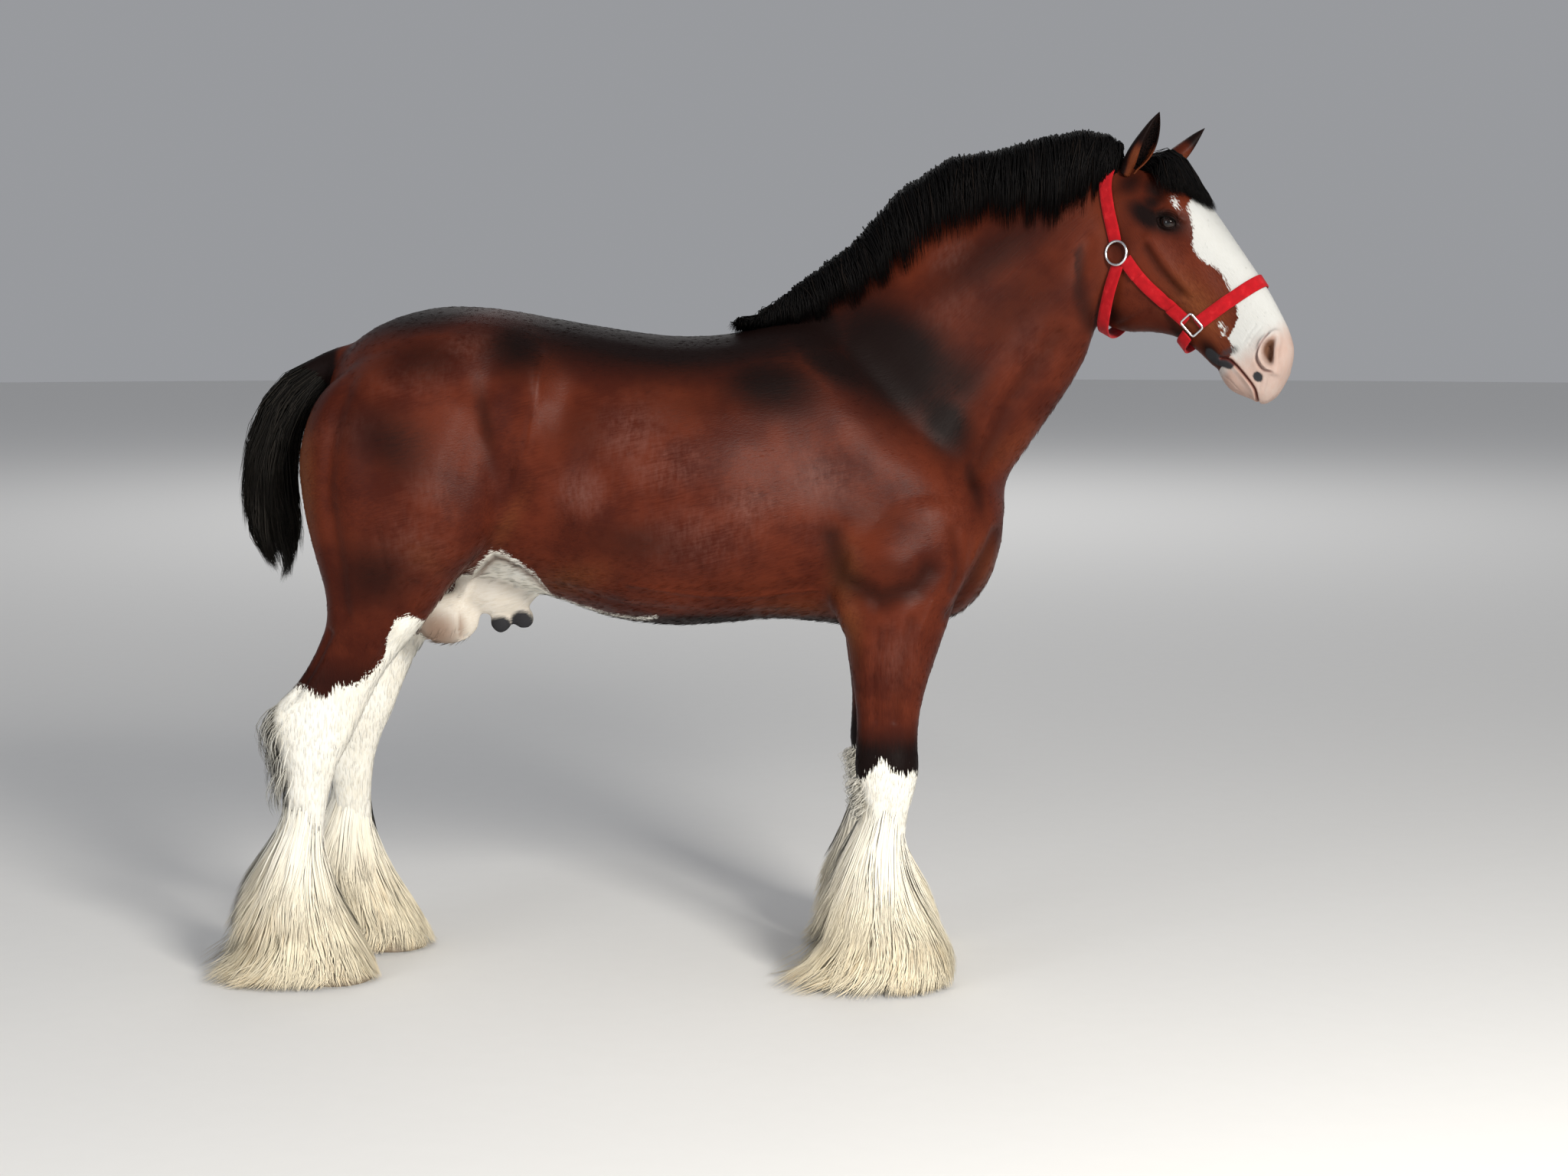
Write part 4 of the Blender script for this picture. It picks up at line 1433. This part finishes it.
def skinPlace(points, values):
    # an unwrap of the whole skin: trunk and neck round their length, each leg and the head in a cell of its own
    head = toHead(points)
    x, y, z = points.T
    trunk = np.column_stack((0.25 + 0.32 * (x + 1.35), 0.02 + 0.46 * (np.arctan2(y, z - 1.35) / math.tau + 0.5)))
    legCell = np.where(x > -0.3, 0, 2) + (y > 0)
    legX = np.where(x > -0.3, 0.29, -1.2)
    turn = np.arctan2(y - np.sign(y) * 0.22, x - legX) / math.tau + 0.5
    legs = np.column_stack((0.02 + 0.24 * legCell + 0.22 * turn, 0.52 + 0.4 * np.clip(z, 0, 1.15)))
    faceTurn = np.arctan2(head[:, 1], head[:, 2] + 0.08) / math.tau + 0.5
    onFace = np.column_stack((0.02 + 0.2 * faceTurn, 0.03 + 0.54 * np.clip(head[:, 0], 0, 0.8)))
    placed = np.where((values["onLeg"] > 0.5)[:, None], legs, trunk)
    return np.clip(np.where((values["onHead"] > 0.5)[:, None], onFace, placed), 0.005, 0.995)


def makeCoat(name, count, skin, density, length, rise, finish):
    mesh = skin.data
    mesh.calc_loop_triangles()
    triangles = np.empty(len(mesh.loop_triangles) * 3, np.int32)
    mesh.loop_triangles.foreach_get("vertices", triangles)
    triangles = triangles.reshape(-1, 3)
    points, normals, _ = readMesh(mesh)
    points = points - toSolids
    corners = points[triangles]
    cross = np.cross(corners[:, 1] - corners[:, 0], corners[:, 2] - corners[:, 0])
    area = np.linalg.norm(cross, axis=1) / 2
    middle, facing = corners.mean(1), unit(cross)
    weight = area * density(middle, facing, markings(middle))
    pick = dice.choice(len(triangles), count, p=weight / weight.sum())
    mixed = dice.dirichlet((1, 1, 1), count)
    roots = (corners[pick] * mixed[..., None]).sum(1)
    normal = unit((normals[triangles[pick]] * mixed[..., None]).sum(1))
    values = markings(roots)
    lie = lieOf(roots, values) + dice.normal(0, 0.1, (count, 3))
    lie = unit(lie - normal * (lie * normal).sum(1, keepdims=True))
    size = length(roots, normal, values) * dice.uniform(0.6, 1.3, count)
    lift = rise(roots, normal, values) * size * dice.uniform(0.5, 1.4, count)
    t = np.linspace(0, 1, coat["stations"])[None, :, None]
    paths = roots[:, None, :] + lie[:, None, :] * size[:, None, None] * t
    paths = paths + normal[:, None, :] * (-0.0006 * (1 - t) ** 2 + lift[:, None, None] * t**1.2)
    across = np.cross(lie, normal)
    width = np.minimum(coat["width"], size * 0.18) * dice.uniform(0.7, 1.3, count)
    values["tone"] = dice.random(count)
    unwrap = skinPlace(roots, values)
    return strands(name, paths, across, width, width * 0.3, finish, values, unwrap, "coat", (), normal)


def offEars(points):
    # the ears have hair of their own
    head = toHead(points)
    return np.minimum(*(lineDistance(head, (ears[hand]["root"], ears[hand]["tip"])) for hand in hands)) > 0.048


def bodyDensity(points, facing, values):
    edge = 1 - np.abs(facing[:, 1])
    low = ramp(-facing[:, 2], 0.1, 0.7)
    haired = (values["onHead"] < 0.5) * (values["onLeg"] < 0.55) * (values["grey"] < 0.3) * offEars(points)
    return (0.25 + 1.6 * edge + 2.2 * low + 1.2 * (values["warm"] > 0.4)) * haired


def bodyLength(points, normal, values):
    low = ramp(-normal[:, 2], 0.2, 0.8)
    return 0.015 + 0.009 * low + 0.006 * (values["onNeck"] > 0.5) * low


def limbDensity(points, facing, values):
    head = toHead(points)
    bare = np.maximum.reduce((values["pink"], values["hole"], values["grey"]))
    legs = (values["onLeg"] >= 0.55) * (points[:, 2] > 0.09) * (1.6 + 2.2 * ramp(values["white"], -0.01, 0.02))
    face = (values["onHead"] >= 0.5) * (1.3 + 1.2 * ramp(-head[:, 2], 0.05, 0.25)) * (bare < 0.4) * (head[:, 0] < 0.7)
    return np.maximum(legs, face * (eyeSlit(head)[1] > 0.03) * offEars(points))


def limbLength(points, normal, values):
    white = ramp(values["white"], -0.01, 0.02) * (values["onHead"] < 0.5)
    return np.where(values["onHead"] > 0.5, 0.0085, 0.015 + 0.005 * white)


def gentleRise(points, normal, values):
    low = ramp(-normal[:, 2], 0.2, 0.8)
    return 0.045 + 0.14 * low + 0.05 * ramp(values["white"], -0.01, 0.02) * (values["onHead"] < 0.5)


# eyes

def makeEye(hand, finish):
    # rings of a sphere round the line of sight, with the cornea raised over the iris
    side = -1 if hand == "right" else 1
    x, y, z = face["eye"]
    radius = face["eyeRadius"]
    polar = np.linspace(0.0, math.pi, 41)[1:-1]
    turn = np.arange(48) * math.tau / 48
    swell = radius + 0.0011 * (1 - ramp(polar, 0.4, 0.72))
    sight = unit(np.array((0.16, side * 1.0, 0.02)))
    slit = math.radians(face["slitLean"])
    level = np.array((math.cos(slit), 0, math.sin(slit)))
    level = unit(level - sight * (level @ sight))
    upward = np.cross(sight, level)
    ring = level * np.cos(turn)[None, :, None] + upward * np.sin(turn)[None, :, None]
    points = ring * (np.sin(polar) * swell)[:, None, None] + sight * (np.cos(polar) * swell)[:, None, None]
    rows, columns = points.shape[:2]
    poles = np.array((sight * (radius + 0.0011), -sight * radius))
    flat = np.vstack((points.reshape(-1, 3), poles))
    j = np.arange(columns)
    after, end = (j + 1) % columns, (rows - 1) * columns
    first, last = joined(rows * columns, after, j), joined(rows * columns + 1, end + j, end + after)
    faces = facesOutward(flat, [gridFaces(rows, columns), first, last])
    values = {"level": (flat @ level) / radius, "upward": (flat @ upward) / radius}
    piece = addMesh(f"eyeball_{hand}", fromHead(flat + (x, side * y, z)), faces, finish, values)
    return finishPiece(piece, "eye", f"eye_{hand}")


def eyeLook():
    look = Look("eye", Coat_Roughness=0.02, Coat_IOR=1.42, Specular_IOR_Level=0.02)
    level, upward = look.value("level"), look.value("upward")
    away = (level * level + upward * upward) ** 0.5
    pupil = (level * level * 0.34 + upward * upward * 1.5) ** 0.5
    streaks = look.noise(look.place(), 900.0, 2.0)
    streaks = look.step(streaks + away * 0.5, 0.35, 0.95)
    iris = look.mix(streaks, color(0.005, 0.0025, 0.002), color(0.014, 0.006, 0.004))
    shade = look.mix(look.step(pupil, 0.2, 0.25), color(0.002, 0.002, 0.003), iris)
    shade = look.mix(look.step(away, 0.6, 0.7), shade, color(0.016, 0.011, 0.01))
    rough = 0.16 + look.step(away, 0.6, 0.75) * 0.14
    return look.feed(Base_Color=shade, Roughness=rough, Coat_Weight=1 - look.step(away, 0.85, 1.0) * 0.3)


def makeLashes(finish):
    # a row of fine dark hairs along the upper lid, and a few long ones below
    paths, across = [], []
    lean = math.radians(face["slitLean"])
    for side in (-1, 1):
        count = 90
        share = dice.uniform(-0.92, 0.92, count)
        wide, high = face["opening"]
        along = share * wide
        up = (high + 0.0016) * np.sqrt(1 - share**2) ** 0.9
        x, y, z = face["eye"]
        rootX = x + along * math.cos(lean) - up * math.sin(lean)
        rootZ = z + along * math.sin(lean) + up * math.cos(lean)
        depth = y + np.sqrt((face["eyeRadius"] + 0.003) ** 2 - along**2 - up**2)
        root = np.stack((rootX, side * depth, rootZ), 1)
        length = dice.uniform(0.01, 0.017, count)[:, None]
        out = np.stack((0.15 + 0.5 * share, np.full(count, side * 1.0), np.full(count, -0.1)), 1)
        middle = root + unit(out) * length * 0.55
        tip = middle + unit(out + (0.25, 0, -0.75)) * length * 0.45
        paths.append(np.stack((root, (root + middle) / 2, middle, tip), 1))
        across.append(np.tile((1.0, 0, 0.3), (count, 1)))
    paths, across = np.concatenate(paths), np.concatenate(across) @ headTurn.T
    paths = fromHead(paths.reshape(-1, 3)).reshape(paths.shape)
    width = np.full(len(paths), 0.0007)
    places = np.column_stack((dice.random(len(paths)), dice.random(len(paths)))) * 0.9 + 0.05
    values = {"tone": dice.random(len(paths))}
    return strands("lashes", paths, across, width, width * 0.7, finish, values, places, "mane")


def makeEarHair(finish):
    # soft hair from the inner wall of each ear, leaning out through its opening
    paths, across, tone = [], [], []
    for hand in ("right", "left"):
        root, length, width, axis, out, sideways = earFrame(hand)
        count = 420
        share = dice.uniform(0.02, 0.8, count)
        _, half, close, wall = readRows(ears["rows"], share)
        turn = dice.choice((-1, 1), count) * dice.uniform(0.3, 0.82, count) * np.radians(close) * 0.95
        half = (half - wall * 0.9) * width
        bow = 0.01 * np.sin(share * math.pi) + 0.006 * share**2
        middle = root + axis * (share * length)[:, None] + out * bow[:, None]
        start = middle - out * 0.8 * (np.cos(turn) * half)[:, None] + sideways * (np.sin(turn) * half)[:, None]
        reach = dice.uniform(0.006, 0.013, count)[:, None] * (1 - 0.6 * share)[:, None]
        way = unit(axis * 1.1 + out * 0.3 - sideways * (np.sin(turn) * 0.9)[:, None])
        lower = start + way * reach * 0.6
        paths.append(np.stack((start, (start + lower) / 2, lower, lower + unit(way + axis * 0.5) * reach * 0.5), 1))
        across.append(np.tile(sideways, (count, 1)))
        tone.append(dice.uniform(0.1, 0.5, count))
    paths, across = np.concatenate(paths), np.concatenate(across) @ headTurn.T
    paths = fromHead(paths.reshape(-1, 3)).reshape(paths.shape)
    width = np.full(len(paths), 0.0015)
    places = np.column_stack((dice.random(len(paths)), dice.random(len(paths)))) * 0.9 + 0.05
    values = {"tone": np.clip(np.concatenate(tone), 0, 1)}
    return strands("ear_hair", paths, across, width, width * 0.5, finish, values, places, "mane")


# hooves

hoof = {"coronet": 0.066, "sole": 0.093, "toe": 0.038, "heel": 0.024, "rings": 26, "ringDepth": 0.0007}


def makeHoof(limb, side, finish):
    # ovals from the coronet to the sole, with growth rings as a small wave down the wall, and a sole drawn in
    rows, y = body[feather[limb]["leg"]], feather[limb]["y"]
    ahead = float(reachAt(0.05, side)) if limb == "hind" else 0.0
    frontX, frontZ, backX, backZ, _, _ = rows[-1]
    frontX, backX = frontX + ahead, backX + ahead
    t = np.linspace(0, 1, hoof["rings"])
    wave = hoof["ringDepth"] * np.sin(t * 46 + np.sin(t * 9)) * np.minimum(1, 6 * (1 - t))
    slope = 0.3 * np.minimum(t * 8, 1) * 0.012 + t
    toe = frontX + hoof["toe"] * np.minimum(slope, 1) + wave
    heel = backX - hoof["heel"] * np.minimum(slope, 1) - wave
    half = hoof["coronet"] + (hoof["sole"] - hoof["coronet"]) * np.minimum(slope, 1) + wave
    front = np.stack((toe, np.full(len(t), side * y), frontZ * (1 - t)), 1)
    back = np.stack((heel, np.full(len(t), side * y), backZ * (1 - t)), 1)
    wall = ringsOf(front, back, half, 0.5, 2.0, 2.0, points=64)
    middle = wall[-1].mean(0)
    inset = np.stack([middle + (wall[-1] - middle) * share for share in (0.97, 0.86, 0.84, 0.4)])
    inset[1:3, :, 2] = ((0.001,), (0.004,))
    inset[3, :, 2] = 0.006
    top = wall[0].mean(0) + (wall[0] - wall[0].mean(0)) * 0.8
    rings = np.concatenate((top[None], wall, inset))
    flat, faces = cappedTube(rings)
    down = np.repeat(np.concatenate(((0,), t, np.ones(len(inset)))), rings.shape[1])
    hand = "right" if side < 0 else "left"
    piece = addMesh(f"hoof_horn_{limb}_{hand}", flat, faces, finish, {"down": down})
    return finishPiece(piece, "hoof", f"hoof_{limb}_{hand}")


def hoofLook():
    look = Look("hoof horn", Specular_IOR_Level=0.45)
    down = look.value("down")
    place = look.place()
    upright = look.node("ShaderNodeMapping", {}, {"Vector": place, "Scale": (260.0, 260.0, 9.0)})
    level = look.node("ShaderNodeMapping", {}, {"Vector": place, "Scale": (6.0, 6.0, 150.0)})
    fibres, bands = look.noise(upright, 1.0, 3.0, 0.6), look.noise(level, 1.0, 2.0)
    streaks = look.step(fibres + (bands - 0.5) * 0.5, 0.3, 0.7)
    shade = look.mix(streaks, color(0.36, 0.27, 0.17), color(0.56, 0.47, 0.34))
    shade = look.mix(look.step(down + (bands - 0.5) * 0.3, 0.72, 1.05), shade, color(0.19, 0.14, 0.095))
    return look.feed(Base_Color=shade, Roughness=0.38 + fibres * 0.25, Normal=look.bump(fibres + bands, 0.35, 0.0008))


# the halter

halter = {
    "width": 0.036,
    "thickness": 0.0034,
    "clearance": 0.0028,
    # where each band runs over the head, in its own frame; bands over both sides are given for one
    "cheek": ((0.25, 0.1, -0.121), (0.335, 0.1, -0.122), (0.476, 0.08, -0.104)),
    "crown": (
        (0.197, 0.1, -0.118), (0.112, 0.1, -0.082), (0.05, 0.09, -0.052), (0.005, 0.06, -0.012), (-0.01, 0, 0.01),
    ),
    "noseband": ((0.496, 0.075, -0.082), (0.498, 0.07, 0.0), (0.5, 0.045, 0.085), (0.5, 0, 0.114)),
    "chin": ((0.5, 0.056, -0.116), (0.505, 0.04, -0.146), (0.508, 0, -0.16)),
    "throat": (
        (0.25, 0.105, -0.148), (0.285, 0.104, -0.2), (0.318, 0.094, -0.246), (0.34, 0.07, -0.282),
        (0.35, 0.034, -0.302), (0.352, 0, -0.306),
    ),
    # these keep to their path and face away from here
    "hanging": {"chin": (0.504, 0, -0.06), "throat": (0.28, 0, -0.15)},
    "fold": 0.052,  # length of the end turned back and sewn down
    "cheekRing": {"place": (0.224, -0.13), "radius": 0.031, "bar": 0.0038},
    "jawRing": {"place": (0.494, -0.101), "half": (0.025, 0.021), "corner": 0.007, "bar": 0.0034},
}

# across and up through the web, each as a share: flat faces with rounded edges
webSection = (
    (-1, 0.3), (-1, 0.7), (-0.95, 1), (-0.5, 1), (0, 1), (0.5, 1), (0.95, 1), (1, 0.7), (1, 0.3), (0.95, 0), (0, 0),
    (-0.95, 0),
)


def layBand(name, skinTree, path, hanging, finish, level=0, start=0, end=0):
    # a band along a path, laid flat on the skin and lifted until its edges clear it
    points = fromHead(curveRows(path, 12))
    if hanging is None:
        laid = [skinTree.find_nearest(Vector(point))[:2] for point in points]
        points, normals = (np.array([pair[i][:] for pair in laid]) for i in (0, 1))
    else:
        normals = unit(points - fromHead(np.array(hanging)))
    gaps = np.append(0, np.cumsum(np.linalg.norm(np.diff(points, axis=0), axis=1)))
    count = int(gaps[-1] / 0.004)
    at = np.linspace(start, gaps[-1] + end, count)
    points = np.stack([np.interp(at, gaps, column) for column in points.T], 1)
    normals = np.stack([np.interp(at, gaps, column) for column in normals.T], 1)
    for _ in range(5):
        inner = normals[1:-1] + normals[:-2] + normals[2:]
        normals = unit(np.vstack((normals[:1], inner, normals[-1:])))
        points[1:-1] = (points[1:-1] * 2 + points[:-2] + points[2:]) / 4
    ahead = unit(np.gradient(points, axis=0))
    edge = unit(np.cross(ahead, normals)) * halter["width"] / 2
    lift = np.full(count, halter["clearance"])
    for i in range(count):
        for reach in np.linspace(-1, 1, 7):
            spot = points[i] + edge[i] * reach
            foot, out = (np.array(value[:]) for value in skinTree.find_nearest(Vector(spot))[:2])
            facing = out @ normals[i]
            if facing > 0.5:
                lift[i] = max(lift[i], halter["clearance"] - (spot - foot) @ out / facing)
    lift = np.convolve(np.pad(lift, 2, "edge"), np.ones(5) / 5, "valid")
    across, up = np.array(webSection).T
    base = points + normals * (lift + level * (halter["thickness"] + 0.0006))[:, None]
    rise = normals[:, None, :] * (up * halter["thickness"])[None, :, None]
    flat, faces = cappedTube(base[:, None, :] + edge[:, None, :] * across[None, :, None] + rise)
    values = {"run": np.repeat(at - start, len(across)), "across": np.tile(across, count)}
    return addMesh(name, flat, faces, finish, values)


def metalRing(name, skinTree, line, bar, place, side, finish):
    # a round bar carried round a closed line that lies on the skin
    nearest = skinTree.find_nearest(Vector(fromHead((place[0], side * 0.1, place[1]))))
    point, out = (np.array(value[:]) for value in nearest[:2])
    faceward = unit(headTurn[:, 0] - out * (headTurn[:, 0] @ out))
    upward = np.cross(out, faceward) * -side
    line = np.array(line)
    ahead = unit(np.roll(line, -1, 0) - np.roll(line, 1, 0))
    outward = np.column_stack((ahead[:, 1], -ahead[:, 0]))
    turn = np.arange(10) * math.tau / 10
    base = point + out * (halter["clearance"] + halter["thickness"] + bar * 0.9)
    middle = base + faceward * line[:, :1] + upward * line[:, 1:]
    sideways = faceward * outward[:, :1] + upward * outward[:, 1:]
    rings = middle[:, None, :] + sideways[:, None, :] * (np.cos(turn) * bar)[None, :, None]
    rings = rings + out * (np.sin(turn) * bar)[None, :, None]
    count = len(line)
    flat = rings.reshape(-1, 3)
    faces = gridFaces(count + 1, 10)
    faces = facesOutward(flat, [np.where(faces >= count * 10, faces - count * 10, faces)])
    return addMesh(name, flat, faces, finish)


def roundedBox(half, corner, steps=7):
    # corners of a rectangle rounded by quarter circles
    turn = np.linspace(0, math.pi / 2, steps)
    line = []
    for quarter, (signX, signY) in enumerate(((1, 1), (-1, 1), (-1, -1), (1, -1))):
        angle = turn + quarter * math.pi / 2
        middle = (signX * (half[0] - corner), signY * (half[1] - corner))
        line.append(middle + corner * np.column_stack((np.cos(angle), np.sin(angle))))
    return np.vstack(line)


def makeHalter(skinTree, web, metal):
    fold = halter["fold"]
    for side, hand in ((-1, "right"), (1, "left")):
        path = [(x, side * y, z) for x, y, z in halter["cheek"]]
        piece = layBand(f"web_cheek_{hand}", skinTree, path, None, web)
        finishPiece(piece, "web", f"halter_cheek_{hand}")
        length = sum(math.dist(a, b) for a, b in zip(path, path[1:]))
        for which, start, end in (("upper", 0.004, fold - length), ("lower", length - fold, -0.004)):
            piece = layBand(f"web_cheek_{which}_fold_{hand}", skinTree, path, None, web, 1, start, end)
            finishPiece(piece, "web")
        sizes = halter["cheekRing"]
        angle = np.arange(48) * math.tau / 48
        circle = np.column_stack((np.cos(angle), np.sin(angle))) * sizes["radius"]
        piece = metalRing(f"cheek_ring_{hand}", skinTree, circle, sizes["bar"], sizes["place"], side, metal)
        finishPiece(piece, "metal", f"halter_cheek_ring_{hand}")
        sizes = halter["jawRing"]
        box = roundedBox(sizes["half"], sizes["corner"])
        piece = metalRing(f"jaw_ring_{hand}", skinTree, box, sizes["bar"], sizes["place"], side, metal)
        finishPiece(piece, "metal", f"halter_jaw_ring_{hand}")
    for name in ("crown", "noseband", "chin", "throat"):
        half = halter[name]
        path = [(x, -y, z) for x, y, z in half] + list(half[-2::-1])
        piece = layBand(f"web_{name}", skinTree, path, halter["hanging"].get(name), web)
        finishPiece(piece, "web", f"halter_{name}")
    print("halter laid on")


def webLook():
    # a weave of ribs across the band and cords along it, a little worn
    look = Look("web", Specular_IOR_Level=0.12, Sheen_Weight=0.06, Sheen_Roughness=0.5)
    run, across = look.value("run"), look.value("across")
    ribs = look.node("ShaderNodeMath", {"operation": "SINE"}, {0: run * (math.tau / 0.0019)})
    cords = look.node("ShaderNodeMath", {"operation": "SINE"}, {0: across * 38.0})
    weave = ribs * cords
    wear = look.noise(look.place(), 60.0, 3.0)
    shade = look.mix(look.step(weave * 0.5 + wear, 0.1, 1.0), color(0.28, 0.0025, 0.006), color(0.5, 0.005, 0.011))
    shade = look.mix(look.step(wear, 0.55, 0.8) * 0.2, shade, color(0.62, 0.06, 0.06))
    return look.feed(Base_Color=shade, Roughness=0.55 + wear * 0.2, Normal=look.bump(weave, 0.55, 0.0006))


def metalLook():
    look = Look("chrome", Metallic=1.0)
    wear = look.noise(look.place(), 90.0, 3.0)
    shade = look.mix(wear, color(0.62, 0.63, 0.65), color(0.86, 0.86, 0.87))
    return look.feed(Base_Color=shade, Roughness=0.14 + wear * 0.18)


# the studio

studio = {
    "cameraPlace": (0.0, -7.0, 1.788),
    "cameraDip": 6.14,
    "lens": 59.48,
    "floorRadius": 60.0,
    "floorColor": color(0.84, 0.835, 0.82),
    "sky": color(0.93, 0.95, 1.0),
    "skyStrength": 0.34,
    # place, aimed at, size, watts, color
    "lights": {
        "key": ((3.0, -6.4, 4.0), (0.0, 0.0, 1.1), 2.0, 640.0, (1.0, 0.965, 0.9)),
        "fill": ((-5.5, -6.0, 2.2), (-0.4, 0.0, 0.9), 3.0, 110.0, (0.95, 0.97, 1.0)),
        "far": ((0.0, 16.0, 9.0), (0.0, 16.0, 0.0), 10.0, 500.0, (1.0, 0.99, 0.97)),
    },
}


def floorLook():
    look = Look("floor", Specular_IOR_Level=0.2)
    grain = look.noise(look.place(), 14.0, 4.0)
    shade = look.mix(grain * 0.08, studio["floorColor"], color(0.6, 0.59, 0.57))
    return look.feed(Base_Color=shade, Roughness=0.8 + grain * 0.1)


def setStudio():
    angle = np.arange(96) * math.tau / 96
    rim = np.column_stack((np.cos(angle), np.sin(angle), np.zeros(96))) * studio["floorRadius"]
    j = np.arange(96)
    floor = addMesh("floor", np.vstack((rim, (0, 0, 0))) - toSolids, [joined(j, (j + 1) % 96, 96)], floorLook())
    world = bpy.data.worlds.new("studio")
    world.use_nodes = True
    backdrop = world.node_tree.nodes["Background"]
    backdrop.inputs["Color"].default_value = studio["sky"]
    backdrop.inputs["Strength"].default_value = studio["skyStrength"]
    bpy.context.scene.world = world
    bpy.context.scene.view_settings.view_transform = "Standard"
    for name, (place, aim, size, watts, tint) in studio["lights"].items():
        data = bpy.data.lights.new(name, "AREA")
        data.size, data.energy, data.color = size, watts, tint
        lamp = bpy.data.objects.new(name, data)
        bpy.context.scene.collection.objects.link(lamp)
        lamp.location = np.array(place) + toSolids
        lamp.rotation_euler = (Vector(aim) - Vector(place)).to_track_quat("-Z", "Y").to_euler()
    data = bpy.data.cameras.new("camera")
    data.sensor_width, data.lens = 36.0, studio["lens"]
    camera = bpy.data.objects.new("camera", data)
    bpy.context.scene.collection.objects.link(camera)
    camera.location = np.array(studio["cameraPlace"]) + toSolids
    camera.rotation_euler = (math.radians(90 - studio["cameraDip"]), 0, 0)
    bpy.context.scene.camera = camera
    print("studio set")


coatFinish, tuftFinish, featherFinish = coatLook("coat", False), coatLook("coat tufts", True), featherLook()
maneColors = color(0.0022, 0.0022, 0.0024), color(0.0042, 0.0036, 0.0036), color(0.011, 0.0075, 0.006)
tailColors = color(0.007, 0.0064, 0.0058), color(0.016, 0.0142, 0.0122), color(0.034, 0.029, 0.024)
maneFinish, tailFinish = longHairLook("mane", *maneColors, 0.52), longHairLook("tail", *tailColors, 0.5)
eyeFinish, hoofFinish = eyeLook(), hoofLook()
skin, skinPoints, skinTriangles = buildSkin(coatFinish)
skinTree = BVHTree.FromPolygons(skinPoints.tolist(), skinTriangles.tolist())
makeHalter(skinTree, webLook(), metalLook())
for side in (-1, 1):
    for limb in ("fore", "hind"):
        makeFeather(limb, side, featherFinish)
        makeHoof(limb, side, hoofFinish)
makeMane(maneFinish)
makeForelock(maneFinish)
makeTail(tailFinish)
makeCoat("coat_body", coat["body"], skin, bodyDensity, bodyLength, gentleRise, tuftFinish)
makeCoat("coat_limbs", coat["limbs"], skin, limbDensity, limbLength, gentleRise, tuftFinish)
makeEarHair(maneFinish)
for hand in ("right", "left"):
    makeEye(hand, eyeFinish)
makeLashes(maneFinish)
setStudio()
